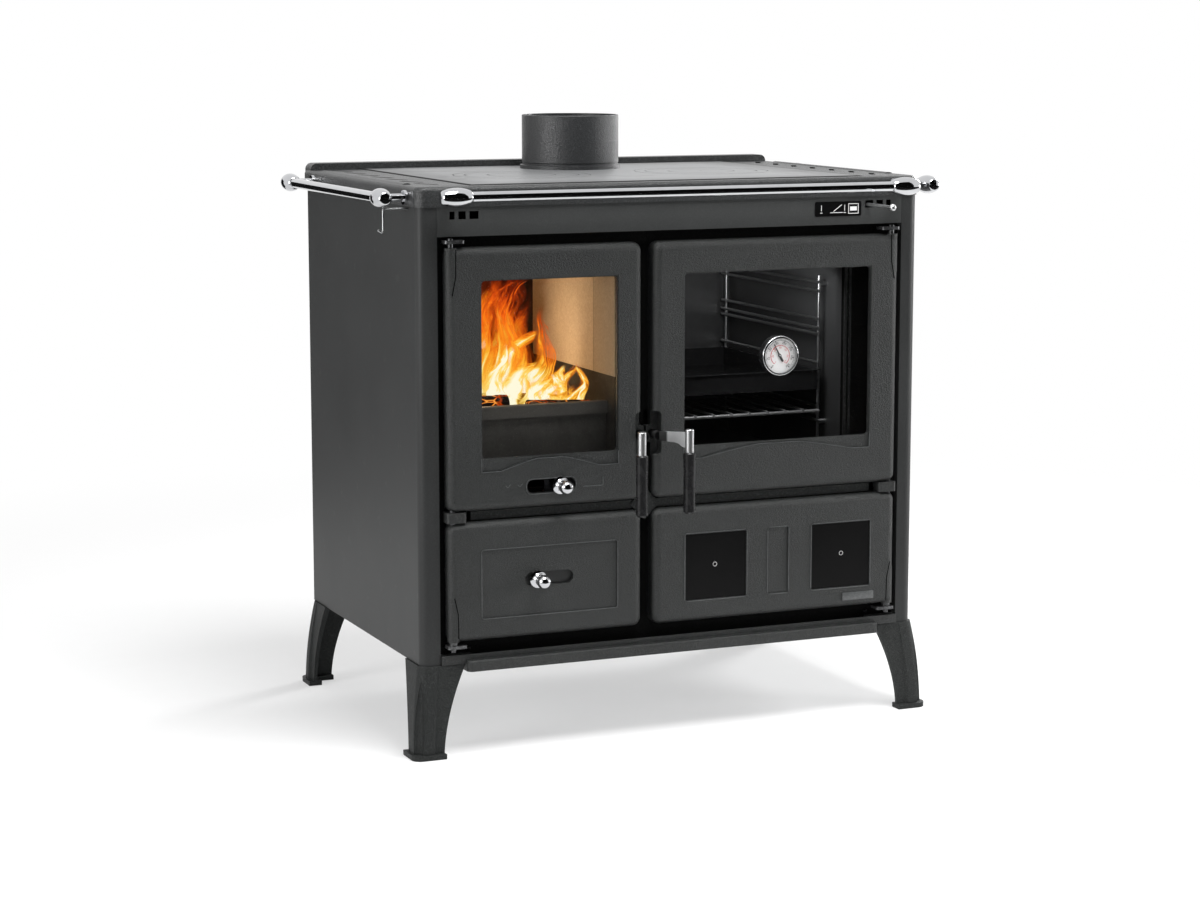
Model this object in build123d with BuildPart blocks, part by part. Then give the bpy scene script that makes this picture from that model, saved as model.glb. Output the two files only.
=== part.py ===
import os
from math import cos, hypot, radians

from build123d import *

os.makedirs("parts", exist_ok=True)

# A wood-burning kitchen range. Millimetres, +Z up, the front faces -Y, and the origin lies on the
# floor under the middle of the whole object. "Depth" is measured back from the front plane, the
# plane of the side panels' front strips.

# ---- driving dimensions: the cabinet ----
hob_height = 860.0
cabinet_width = 840.0
cabinet_depth = 541.0
cabinet_floor = 140.8
sheet = 2.0
panel_corner = 15.0
strip_width = 30.0
strip_return = 13.3
rear_return = 20.0
frame_bottom = 830.0
base_thickness = 3.0
cast_frame_drop = 30.2
cast_thickness = 8.0
cast_corner = 2.0
mouth_corner = 8.0

# ---- top ----
top_overhang_side = 2.0
top_overhang_front = 3.0
top_overhang_back = 24.0
top_corner = 18.0
top_edge_round = 7.0
hob_width = 656.0
hob_front = 20.0
hob_back = 532.0
hob_thickness = 9.0
hob_gap = 2.0
hob_ledge = 12.0
hob_proud = 1.0
upstand_height = 11.0
upstand_flat = 0.5
upstand_inset = 6.0
upstand_root = 8.0
side_bar_radius = 13.0
side_bar_front = 78.0
side_bar_back = 480.0
side_bar_proud = 2.0
vent_count = 7
vent_pitch = 68.0
vent_length = 50.0
vent_width = 9.0
vent_slant = 25.0
vent_row_inset = 44.0
vent_row_middle = 282.0
groove_width = 3.0
groove_depth = 4.0
groove_inset = 27.0

# ---- flue ----
pipe_radius = 76.0
collar_wall = 4.2
pipe_stop = 2.0
collar_height = 88.0
collar_foot = 3.0
collar_foot_height = 7.0
collar_groove = 1.2
collar_groove_height = 2.0
collar_bevel = 1.5
collar_lip_break = 1.0
flue_depth = 427.0
ring_x = 157.0
ring_depth = 250.0
ring_radii = (110.0, 92.0, 55.0)
ring_line = 2.0
ring_engraving = 0.8
hob_corner = 3.0
hob_edge_break = 0.8

# ---- rails ----
rail_radius = 8.0
front_rail_out = 39.0
front_rail_height = 846.0
front_rail_inset = 22.7
side_rail_out = 41.6
side_rail_height = 843.0
side_rail_first = 44.6
side_rail_last = 499.3
knob_radius = 14.5
knob_length = 48.0
knob_neck = 10.5
knob_edge = 3.0
post_radius = 6.0
rosette_radius = 11.0
rosette_thickness = 5.0
wire_radius = 1.6
hook_reach = 38.0
hook_drop = 36.0
hook_tip = (8.0, 5.0)
hook_bend = 2.2

# ---- doors ----
door_front = -13.0
door_back = 13.0
door_wall = 7.0
door_rim = 26.0
door_corner = 13.5
door_front_round = 12.0
door_hinge_relief = 8.0
door_low_rim = 14.0
door_pocket_corner = 6.0
door_outer = 380.0
left_door_edge = -63.3
right_door_edge = -43.8
upper_bottom = 374.0
upper_top = 770.0
lower_bottom = 176.0
lower_top = 358.0
moving_gap = 0.3
seal_inset = 14.0
seal_low_inset = 3.5
seal_width = 8.0
seal_depth = 7.0
seal_corner = 12.0
seal_edge_round = 2.0

hinge_inset = 9.5
hinge_depth = -3.0
barrel_radius = 9.5
barrel_length = 60.0
pin_radius = 4.0
pin_clearance = 0.05
pin_engagement = 16.0
lug_thickness = 4.7
lug_length = 31.0
lug_shoulder = 6.5
lug_overhang = 1.5
top_lug_gap = 6.5
bottom_lug_gap = 5.3
lug_corner = 5.0
pin_end_gap = 1.0
pin_head = 2.5
pin_tail = 6.0

window_bottom = 453.4
window_top = 720.0
firebox_window = (-325.3, -105.5)
oven_window = (7.6, 329.0)
window_corner = 6.0
apron_bottom = 433.0
apron_crown = 449.0
apron_flat = 31.0
apron_depth = 1.6
apron_margin = 1.6
apron_shoulder = (0.36, 1.2)
glass_thickness = 4.0
glass_overlap = 12.0
glass_corner = 5.0
glass_edge_break = 0.5

air_slot_length = 79.0
air_slot_height = 21.0
upper_slot_x = -214.5
upper_slot_rise = 32.5
upper_knob_x = -201.0
lower_slot_x = -217.8
lower_slot_rise = 88.5
lower_knob_x = -238.0
air_plate_length = 130.0
air_plate_height = 30.0
air_plate_thickness = 2.5
air_plate_gap = 0.4
air_rib = 4.0
air_port = (-57.0, -22.0)
air_port_half = 9.5
air_port_corner = 5.0
air_plate_corner = 3.0
air_stud_reach = 10.0
knob_disc_radius = 13.3
knob_ball_radius = 10.9
knob_stem_radius = 4.0
knob_stem_clearance = 0.05
knob_seat_gap = 0.7
knob_neck_radius = 4.6
knob_cone_radius = 6.1
knob_disc_edge = 2.0
knob_disc_slope = (3.0, 5.0)
knob_cone_length = 10.0
knob_ball_reach = 27.0

# ---- handles ----
gap_middle = (left_door_edge + right_door_edge) / 2
pivot_offset = 11.0
pivot_height = 474.0
shaft_radius = 6.0
shaft_clearance = 0.05
eye_radius = 7.2
eye_front = -25.0
eye_back = -14.3
bush_reach = 9.0
bush_half_height = 13.0
notch_drop = 30.0
notch_rise = 36.0
notch_width = 12.0
notch_depth = 14.3
notch_corner = 6.0
sleeve_offset = 39.5
sleeve_depth = -77.0
sleeve_radius = 6.6
sleeve_drop = 20.0
sleeve_rise = 15.5
grip_radius = 9.5
grip_door_gap = 2.0
arm_thickness = 4.0
core_radius = 4.0
core_length = 60.0
core_clearance = 0.05
core_end_gap = 0.2
sleeve_edge_round = 2.0
grip_low_bevel = 3.0
grip_high_bevel = 2.0
grip_waist = 0.5
arm_half = 7.0
arm_top_rise = 11.0
arm_bottom_drop = (14.0, 13.0, 8.5, 7.0)
arm_bottom_run = 10.0
arm_eye_lap = 1.0
shaft_proud = 0.6
washer_radius = 7.5
shaft_washer = 3.0
cam_reach = 10.2
cam_half = 3.0
cam_thickness = 5.0
latch_pocket_depth = 6.5

# ---- firebox ----
firebox_left = -364.0
firebox_right = -66.0
firebox_depth = 383.0
firebox_wall = 4.0
liner_thickness = 25.0
liner_split = 105.0
liner_height = 163.0
surround_height = 132.0
surround_bottom = 430.0
surround_flange = 8.0
surround_ledge = 12.0
shell_ledge = 10.0
shell_ledge_thickness = 6.0
grate_margin = 15.0
grate_slot_margin = 20.0
grate_slot_width = 12.0
grate_thickness = 12.0
guard_height = 84.0
guard_front = 54.0
guard_thickness = 10.0
baffle_front = 150.0
chamber_floor = 760.0
drawer_wall = 2.0
drawer_height = 116.0
drawer_side_gap = 12.0
drawer_end_gap = 10.0
pull_slot = (80.0, 22.0)
pull_slot_drop = 28.0
mouth_inset = 12.0

# ---- oven and store ----
oven_left = -16.0
oven_right = 298.0
oven_bottom = 402.0
oven_depth = 432.0
oven_lip = 6.0
oven_lip_reach = 3.0
store_left = -10.0
store_right = 354.0
store_bottom = 180.0
store_top = 388.0
store_depth = 470.0
rack_offset = 12.0
rack_front = 75.0
rack_back = 415.0
rack_foot = 38.0
rack_height = 260.0
rack_rungs = (288.0, 274.0, 229.0, 214.5, 205.0, 159.0, 145.0, 89.0, 77.0, 66.0)
rack_wire = 2.5
wire_sink = 0.6
grid_rung = 8
tray_rung = 6
grid_pitch = 31.6

# ---- control end ----
fascia_height = 43.9
vents = ((58.5, 14.5), (39.7, 11.8), (24.0, 8.4))
vent_drop = 12.6
vent_height = 11.8
control_length = 81.5
control_height = 23.0
control_thickness = 1.0
control_gap = 6.5
control_drop = 17.0
control_corner = 2.5
lever_inset = 61.0
lever_drop = 13.5
lever_radius = 2.75
lever_reach = 80.0
lever_ball = 5.5

# ---- legs ----
leg_wall = 10.0
leg_column = 17.0
leg_step = 28.0
leg_web = 12.0
leg_rim_out = 3.0
leg_flange_inset = 6.0
leg_flange_thickness = 7.0
leg_flange_lap = 1.0
foot_lap = 1.0
foot_edge = 1.0
foot_thickness = 8.0
foot_margin = 4.0
leg_sections = ((0.0, 0.4, 72.0), (6.6, 2.2, 60.0), (11.6, 3.6, 50.5), (13.4, 4.2, 47.0))
leg_heights = (cabinet_floor, 98.0, 48.0, foot_thickness)
leg_groove = ((118.0, 0.8, 4.6), (62.0, 9.4, 2.0), (foot_thickness, 10.4, 1.4))
foot_corner = 15.0

# ---- worked out from the sizes above ----
half_width = cabinet_width / 2
frame_half = half_width + top_overhang_side
frame_back = cabinet_depth + top_overhang_back
front_reach = -sleeve_depth + grip_radius
front_y = (front_reach - frame_back) / 2
fascia_half = half_width - strip_width
fascia_bottom = frame_bottom - fascia_height
lever_x = fascia_half - lever_inset
lever_height = frame_bottom - lever_drop
cast_front = strip_return
cast_back = cast_front + cast_thickness
grip_bottom = lower_top + grip_door_gap
sleeve_bottom = pivot_height - sleeve_drop
sleeve_top = pivot_height + sleeve_rise
notch_bottom = pivot_height - notch_drop
notch_top = pivot_height + notch_rise
upper_air_slot = (upper_slot_x, upper_bottom + upper_slot_rise)
lower_air_slot = (lower_slot_x, lower_bottom + lower_slot_rise)
top_lug = upper_top + top_lug_gap
middle_lug = lower_top + moving_gap
bottom_lug = lower_bottom - bottom_lug_gap - lug_thickness
surround_top = surround_bottom + surround_height
liner_top = surround_top + liner_height
front_rail_end = half_width - front_rail_inset
hinge_x = door_outer - hinge_inset
hob_top = hob_height + hob_proud
hob_underside = hob_top - hob_thickness


def facing(depth):
    """The plane that faces the front at a depth; a sketch on it is in X and Z."""
    return Plane(origin=(0, front_y + depth, 0), x_dir=(1, 0, 0), z_dir=(0, -1, 0))


def level(height):
    """The horizontal plane at a height; a sketch on it is in X and depth."""
    return Plane(origin=(0, front_y, height), x_dir=(1, 0, 0), z_dir=(0, 0, 1))


def slab(x, depth, z, mode=Mode.ADD):
    """A rectangular block between two corners, given as ranges of X, depth and Z."""
    middle = ((x[0] + x[1]) / 2, front_y + (depth[0] + depth[1]) / 2, (z[0] + z[1]) / 2)
    with Locations(middle):
        Box(x[1] - x[0], depth[1] - depth[0], z[1] - z[0], mode=mode)


def rod(start, end, radius, mode=Mode.ADD):
    """A round rod between two points given as X, depth and Z."""
    first = Vector(start[0], front_y + start[1], start[2])
    last = Vector(end[0], front_y + end[1], end[2])
    with BuildSketch(Plane(origin=first, z_dir=last - first)) as section:
        Circle(radius)
    extrude(section.sketch, amount=(last - first).length, mode=mode)


def rounded_window(x, z, corner):
    """A rectangle with rounded corners on the sketch in hand."""
    with Locations(((x[0] + x[1]) / 2, (z[0] + z[1]) / 2)):
        RectangleRounded(x[1] - x[0], z[1] - z[0], corner)


def finish(part, name):
    """Name the piece and write it."""
    part.part.label = name
    export_step(part.part, f"parts/{name}.step")


# ---- cabinet sheet metal ----
side_panels = {}
for side_name, side in (("left", -1), ("right", 1)):
    with BuildPart() as side_panel:
        with BuildSketch(level(cabinet_floor)):
            with BuildLine() as fold:
                inner = half_width - sheet
                Polyline(
                    (side * fascia_half, strip_return),
                    (side * fascia_half, 0),
                    (side * half_width, 0),
                    (side * half_width, cabinet_depth),
                    (side * (half_width - rear_return), cabinet_depth),
                    (side * (half_width - rear_return), cabinet_depth - sheet),
                    (side * inner, cabinet_depth - sheet),
                    (side * inner, sheet),
                    (side * (fascia_half + sheet), sheet),
                    (side * (fascia_half + sheet), strip_return),
                    close=True,
                )
            make_face()
            outer_corner = vertices().sort_by_distance(Vector(side * half_width, 0))[0]
            fillet(outer_corner, panel_corner)
            inner_corner = vertices().sort_by_distance(Vector(side * inner, sheet))[0]
            fillet(inner_corner, panel_corner - sheet)
        extrude(amount=frame_bottom - cabinet_floor)
    side_panels[side_name] = side_panel
    finish(side_panel, f"side_panel_{side_name}")

with BuildPart() as back_panel:
    slab(
        (-(half_width - sheet - moving_gap), half_width - sheet - moving_gap),
        (cabinet_depth - 2 * sheet, cabinet_depth - sheet),
        (cabinet_floor + base_thickness, frame_bottom),
    )
finish(back_panel, "back_panel")

with BuildPart() as base_plate:
    base_half = half_width - sheet - moving_gap
    slab(
        (-base_half, base_half),
        (cast_front, cabinet_depth - 2 * sheet),
        (cabinet_floor, cabinet_floor + base_thickness),
    )
finish(base_plate, "base_plate")

# The shelf: a cast nosing under the doors, with a step up at each end.
shelf_half = 351.3
shelf_bottom = 130.0
shelf_top = 147.0
shelf_out = 16.0
shelf_corner = 8.0
shelf_edge_round = 3.0
tab_half = 389.6
tab_top = 155.0
tab_out = 4.0
tab_lap = 12.0
tab_step = 2.0
with BuildPart() as base_shelf:
    slab((-shelf_half, shelf_half), (-shelf_out, cast_front - moving_gap), (shelf_bottom, shelf_top))
    fillet(edges().filter_by(Axis.Z).group_by(Axis.Y)[0], shelf_corner)
    fillet(faces().sort_by(Axis.Z)[-1].edges().group_by(Axis.Y)[0], shelf_edge_round)
    shelf_back = cast_front - moving_gap
    slab((-tab_half, tab_half), (-tab_out, shelf_back), (cabinet_floor + moving_gap, tab_top))
    tab_start = shelf_half - tab_lap
    slab((-tab_start, tab_start), (-tab_step, shelf_back), (shelf_top, tab_top), mode=Mode.SUBTRACT)
finish(base_shelf, "base_shelf")

with BuildPart() as fascia_panel:
    fascia_edge = fascia_half - moving_gap
    slab((-fascia_edge, fascia_edge), (0, sheet), (fascia_bottom, frame_bottom))
    slab((-fascia_edge, fascia_edge), (sheet, strip_return), (fascia_bottom, fascia_bottom + sheet))
    slab((-fascia_edge, fascia_edge), (sheet, strip_return), (frame_bottom - sheet, frame_bottom))
    for side in (-1, 1):
        for vent_x, vent_w in vents:
            vent_middle = side * (fascia_half - vent_x)
            vent_range = (vent_middle - vent_w / 2, vent_middle + vent_w / 2)
            vent_middle_z = frame_bottom - vent_drop
            vent_z = (vent_middle_z - vent_height / 2, vent_middle_z + vent_height / 2)
            slab(vent_range, (0, sheet), vent_z, mode=Mode.SUBTRACT)
finish(fascia_panel, "fascia_panel")

with BuildPart() as control_plate:
    with BuildSketch(facing(0)):
        plate_end = lever_x - lever_ball - control_gap
        plate_z = lever_height - control_drop
        rounded_window(
            (plate_end - control_length, plate_end),
            (plate_z, plate_z + control_height),
            control_corner,
        )
    extrude(amount=control_thickness)
finish(control_plate, "control_plate")

# ---- cast front frame ----
cast_half = half_width - sheet - moving_gap
mouth_low_margin = 22.0
mouth_high_margin = 20.0
oven_mouth_margin = 3.0
oven_mouth_drop = 8.0
mouth_low = lower_bottom + mouth_low_margin
mouth_high = lower_top - mouth_high_margin
firebox_mouth_x = (firebox_left + mouth_inset, firebox_right - 2 * mouth_inset)
firebox_mouth = (firebox_mouth_x, (upper_bottom + door_rim, upper_top - door_rim))
oven_mouth_x = (oven_left + sheet + oven_mouth_margin, oven_right - sheet)
oven_mouth = (oven_mouth_x, (oven_bottom + sheet, upper_top - door_rim - oven_mouth_drop))
ash_mouth = (firebox_mouth_x, (mouth_low, mouth_high))
store_mouth = ((store_left + sheet, store_right - sheet), (mouth_low, mouth_high))
latch_pocket = ((left_door_edge - notch_width, right_door_edge + notch_width), (notch_bottom, notch_top))
keeper_half = 3.0
keeper_drop = 22.0
lip_corner = 10.0
rib_depth = 2.0
rib_gap = 1.5
star_reach = 25.0
star_gap = 1.5
with BuildPart() as front_frame:
    with BuildSketch(facing(cast_back)):
        cast_foot = cabinet_floor + base_thickness
        rounded_window((-cast_half, cast_half), (cast_foot, frame_bottom - cast_frame_drop), cast_corner)
        with BuildSketch(mode=Mode.PRIVATE) as holes:
            for mouth in (firebox_mouth, oven_mouth, ash_mouth, store_mouth):
                rounded_window(*mouth, mouth_corner)
        add(holes.sketch, mode=Mode.SUBTRACT)
    extrude(amount=cast_thickness)
    with BuildSketch(facing(cast_front + latch_pocket_depth)):
        rounded_window(*latch_pocket, notch_corner)
    extrude(amount=latch_pocket_depth, mode=Mode.SUBTRACT)
    slab(
        (gap_middle - keeper_half, gap_middle + keeper_half),
        (cast_front, cast_back),
        (notch_top - keeper_drop, notch_top),
    )
    with BuildSketch(facing(cast_front)):
        lip_x, lip_z = oven_mouth
        reach = 2 * oven_lip
        rounded_window(
            (lip_x[0] - oven_lip, lip_x[1] + reach),
            (lip_z[0] - oven_lip, lip_z[1] + oven_lip),
            lip_corner,
        )
        with BuildSketch(mode=Mode.PRIVATE) as lip_hole:
            rounded_window(lip_x, lip_z, mouth_corner)
            with Locations((lip_x[1] + oven_lip, (lip_z[0] + lip_z[1]) / 2)):
                Rectangle(oven_lip / 2, lip_z[1] - lip_z[0])
        add(lip_hole.sketch, mode=Mode.SUBTRACT)
    extrude(amount=oven_lip_reach)
    rib_end = hinge_x - lug_length
    slab((-rib_end, rib_end), (rib_depth, cast_front), (lower_top + rib_gap, upper_bottom - rib_gap))
    star_middle = (gap_middle, (lower_top + upper_bottom) / 2)
    with BuildSketch(facing(cast_front)):
        with Locations(star_middle):
            Rectangle(star_reach * 2 ** 0.5, star_reach * 2 ** 0.5, rotation=45)
        with BuildSketch(mode=Mode.PRIVATE) as door_shapes:
            for door_x in (
                (-door_outer, left_door_edge + star_gap),
                (right_door_edge - star_gap, door_outer),
            ):
                for door_z in ((lower_bottom, lower_top + star_gap), (upper_bottom - star_gap, upper_top)):
                    rounded_window(door_x, door_z, door_corner + star_gap)
        add(door_shapes.sketch, mode=Mode.SUBTRACT)
    extrude(amount=cast_front)
finish(front_frame, "front_frame")

# ---- top ----
with BuildPart() as top_frame:
    frame_middle = (frame_back - top_overhang_front) / 2
    frame_length = frame_back + top_overhang_front
    hob_middle = (hob_front + hob_back) / 2
    with BuildSketch(level(frame_bottom)):
        with Locations((0, frame_middle)):
            RectangleRounded(2 * frame_half, frame_length, top_corner)
    extrude(amount=hob_height - frame_bottom)
    fillet(faces().sort_by(Axis.Z)[-1].edges(), top_edge_round)
    for side in (-1, 1):
        bar_x = side * (frame_half - side_bar_radius)
        bar_z = hob_height + side_bar_proud - side_bar_radius
        rod((bar_x, side_bar_front, bar_z), (bar_x, side_bar_back, bar_z), side_bar_radius)
    with BuildSketch(facing(frame_back)):
        with BuildLine():
            foot = frame_half - upstand_inset
            crest = hob_height + upstand_height
            root = hob_height - upstand_root
            Polyline((-foot, root), (-foot, crest), (foot, crest), (foot, root), close=True)
        make_face()
        fillet(vertices().group_by(Axis.Y)[-1], upstand_height - upstand_flat)
    extrude(amount=frame_back - hob_back - hob_gap)
    with BuildSketch(level(hob_underside)):
        with Locations((0, hob_middle)):
            Rectangle(hob_width + 2 * hob_gap, hob_back - hob_front + 2 * hob_gap)
    extrude(amount=hob_thickness, mode=Mode.SUBTRACT)
    with BuildSketch(level(frame_bottom)):
        with Locations((0, hob_middle)):
            Rectangle(hob_width - 2 * hob_ledge, hob_back - hob_front - 2 * hob_ledge)
    extrude(amount=hob_underside - frame_bottom, mode=Mode.SUBTRACT)
    groove_front = hob_front - hob_gap
    slab(
        (-frame_half + groove_inset, frame_half - groove_inset),
        (groove_front, groove_front + groove_width),
        (hob_height - groove_depth, hob_height + groove_depth),
        mode=Mode.SUBTRACT,
    )
    for side in (-1, 1):
        with BuildSketch(level(frame_bottom)):
            for index in range(vent_count):
                along = vent_row_middle + (index - (vent_count - 1) / 2) * vent_pitch
                with Locations((side * (frame_half - vent_row_inset), along)):
                    SlotOverall(vent_length, vent_width, rotation=90 - side * vent_slant)
        extrude(amount=2 * (hob_height - frame_bottom), mode=Mode.SUBTRACT)
finish(top_frame, "top_frame")

with BuildPart() as hob_plate:
    with BuildSketch(level(hob_underside)):
        with Locations((0, hob_middle)):
            RectangleRounded(hob_width, hob_back - hob_front, hob_corner)
        with Locations((0, flue_depth)):
            Circle(pipe_radius - pipe_stop, mode=Mode.SUBTRACT)
    extrude(amount=hob_thickness)
    chamfer(faces().sort_by(Axis.Z)[-1].outer_wire().edges(), hob_edge_break)
    with BuildSketch(level(hob_top - ring_engraving)):
        for side in (-1, 1):
            with Locations((side * ring_x, ring_depth)):
                for radius in ring_radii:
                    with BuildSketch(mode=Mode.PRIVATE) as ring:
                        Circle(radius)
                        Circle(radius - ring_line, mode=Mode.SUBTRACT)
                    add(ring.sketch)
                Circle(ring_line)
    extrude(amount=ring_engraving, mode=Mode.SUBTRACT)
finish(hob_plate, "hob_plate")

collar_outer = pipe_radius + collar_wall
collar_top = hob_top + collar_height
with BuildPart() as flue_collar:
    with BuildSketch(Plane(origin=(0, front_y + flue_depth, 0), x_dir=(1, 0, 0), z_dir=(0, -1, 0))):
        with BuildLine():
            foot_radius = collar_outer + collar_foot
            groove_top = hob_top + collar_foot_height
            Polyline(
                (pipe_radius, hob_top),
                (foot_radius, hob_top),
                (foot_radius, groove_top - collar_bevel),
                (collar_outer - collar_groove, groove_top),
                (collar_outer - collar_groove, groove_top + collar_groove_height),
                (collar_outer, groove_top + collar_groove_height + collar_bevel),
                (collar_outer, collar_top - collar_lip_break),
                (collar_outer - collar_lip_break, collar_top),
                (pipe_radius, collar_top),
                close=True,
            )
        make_face()
    revolve(axis=Axis((0, front_y + flue_depth, 0), (0, 0, 1)))
finish(flue_collar, "flue_collar")

# ---- smoke chamber and bypass damper ----
chamber_half = 356.0
chamber_front = 24.0
chamber_back = 530.0
chamber_sheet = 3.0
gate = ((200.0, 349.0), (100.0, 200.0))
gate_thickness = 3.0
gate_weld = 10.0
ledge_top = 814.2
ledge_depth = (60.0, 300.0)
ledge_thickness = 5.0
ledge_bite = 4.0
flue_mouth_inset = 24.0
flue_mouth_front = 40.0
flue_mouth_reach = 150.0
with BuildPart() as smoke_chamber:
    slab((-chamber_half, chamber_half), (chamber_front, chamber_back), (chamber_floor, frame_bottom))
    slab(
        (-chamber_half + chamber_sheet, chamber_half - chamber_sheet),
        (chamber_front + chamber_sheet, chamber_back - chamber_sheet),
        (chamber_floor + chamber_sheet, frame_bottom),
        mode=Mode.SUBTRACT,
    )
    slab(
        (firebox_left + flue_mouth_inset, firebox_right - flue_mouth_inset),
        (flue_mouth_front, baffle_front + flue_mouth_reach),
        (chamber_floor, chamber_floor + chamber_sheet),
        mode=Mode.SUBTRACT,
    )
    slab((gate[0][1] - ledge_bite, chamber_half), ledge_depth, (ledge_top - ledge_thickness, ledge_top))
    rod(
        (lever_x, chamber_front, lever_height),
        (lever_x, chamber_front + chamber_sheet, lever_height),
        lever_radius + moving_gap,
        mode=Mode.SUBTRACT,
    )
finish(smoke_chamber, "smoke_chamber")

with BuildPart() as damper_lever:
    rod(
        (lever_x, -lever_reach, lever_height),
        (lever_x, gate[1][0] + gate_weld, lever_height),
        lever_radius,
    )
    with Locations((lever_x, front_y - lever_reach, lever_height)):
        Sphere(lever_ball)
    slab(gate[0], gate[1], (ledge_top + moving_gap, ledge_top + moving_gap + gate_thickness))
finish(damper_lever, "damper_lever")

# ---- rails ----
with BuildPart() as rail_tubes:
    rail_end = front_rail_end - knob_length
    rod(
        (-rail_end, -front_rail_out, front_rail_height),
        (rail_end, -front_rail_out, front_rail_height),
        rail_radius,
    )
    for side in (-1, 1):
        rail_x = side * (half_width + side_rail_out)
        first = side_rail_first + knob_length / 2
        last = side_rail_last - knob_length / 2
        rod((rail_x, first, side_rail_height), (rail_x, last, side_rail_height), rail_radius)
finish(rail_tubes, "rail_tubes")


def barrel_knob(centre, direction):
    """A barrel-shaped knob about an axis."""
    axis_plane = Plane(origin=centre, x_dir=direction, z_dir=Vector(direction).cross(Vector(0, 0, 1)))
    half = knob_length / 2
    with BuildSketch(axis_plane) as section:
        with BuildLine():
            Line((-half, 0), (-half, knob_neck - knob_edge))
            Line((-half, knob_neck - knob_edge), (-half + knob_edge, knob_neck))
            ThreePointArc((-half + knob_edge, knob_neck), (0, knob_radius), (half - knob_edge, knob_neck))
            Line((half - knob_edge, knob_neck), (half, knob_neck - knob_edge))
            Line((half, knob_neck - knob_edge), (half, 0))
            Line((half, 0), (-half, 0))
        make_face()
    revolve(section.sketch, axis=Axis(centre, direction))


with BuildPart() as rail_knobs:
    for side in (-1, 1):
        front_knob = (
            side * (front_rail_end - knob_length / 2),
            front_y - front_rail_out,
            front_rail_height,
        )
        barrel_knob(front_knob, (1, 0, 0))
        for along in (side_rail_first, side_rail_last):
            side_knob = (side * (half_width + side_rail_out), front_y + along, side_rail_height)
            barrel_knob(side_knob, (0, 1, 0))
finish(rail_knobs, "rail_knobs")

with BuildPart() as rail_posts:
    for side in (-1, 1):
        post_x = side * (front_rail_end - knob_length / 2)
        post_start = -front_rail_out + knob_radius
        rod(
            (post_x, post_start, front_rail_height),
            (post_x, -top_overhang_front, front_rail_height),
            post_radius,
        )
        rod(
            (post_x, -top_overhang_front - rosette_thickness, front_rail_height),
            (post_x, -top_overhang_front, front_rail_height),
            rosette_radius,
        )
        for along in (side_rail_first, side_rail_last):
            knob_face = side * (half_width + side_rail_out - knob_radius)
            rod(
                (knob_face, along, side_rail_height),
                (side * frame_half, along, side_rail_height),
                post_radius,
            )
            rod(
                (side * (frame_half + rosette_thickness), along, side_rail_height),
                (side * frame_half, along, side_rail_height),
                rosette_radius,
            )
finish(rail_posts, "rail_posts")

hook_z = side_rail_height - knob_radius - wire_radius - moving_gap
with BuildPart() as tool_hook:
    with BuildLine() as hook_path:
        hook_y = front_y + side_rail_first
        FilletPolyline(
            (-half_width, hook_y, hook_z),
            (-half_width - hook_reach, hook_y, hook_z),
            (-half_width - hook_reach, hook_y, hook_z - hook_drop),
            (-half_width - hook_reach - hook_tip[0], hook_y, hook_z - hook_drop + hook_tip[1]),
            radius=hook_bend,
        )
    with BuildSketch(Plane(origin=hook_path.line @ 0, z_dir=hook_path.line % 0)):
        Circle(wire_radius)
    sweep()
finish(tool_hook, "tool_hook")

# ---- legs ----
leg_corner_x = half_width + leg_rim_out
leg_corner_depth = -leg_rim_out
leg_arm_top = leg_sections[0][2]


def leg_outline(splay, step, arm):
    """One level of the front left leg: an angle with a round column that stands proud of its arms."""
    corner_x = -(leg_corner_x + splay)
    corner_y = leg_corner_depth - splay
    shoulder = leg_column * (1 - cos(radians(45)))
    web = leg_wall + leg_web

    def at(u, v):
        return (corner_x + u, corner_y + v)

    with BuildLine() as outline:
        Polyline(at(arm, step), at(leg_step + step, step), at(leg_step, 0), at(leg_column, 0))
        ThreePointArc(at(leg_column, 0), at(shoulder, shoulder), at(0, leg_column))
        Polyline(at(0, leg_column), at(0, leg_step), at(step, leg_step + step), at(step, arm))
        Polyline(
            at(step, arm),
            at(leg_wall, arm),
            at(leg_wall, web),
            at(web, leg_wall),
            at(arm, leg_wall),
            at(arm, step),
        )
    make_face(outline.edges())


def leg_splay(height):
    """How far the leg's corner has moved out at a height, between the two nearest sections."""
    for upper, lower in zip(range(len(leg_heights)), range(1, len(leg_heights))):
        if height >= leg_heights[lower]:
            share = (leg_heights[upper] - height) / (leg_heights[upper] - leg_heights[lower])
            return leg_sections[upper][0] + share * (leg_sections[lower][0] - leg_sections[upper][0])
    return leg_sections[-1][0]


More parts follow.
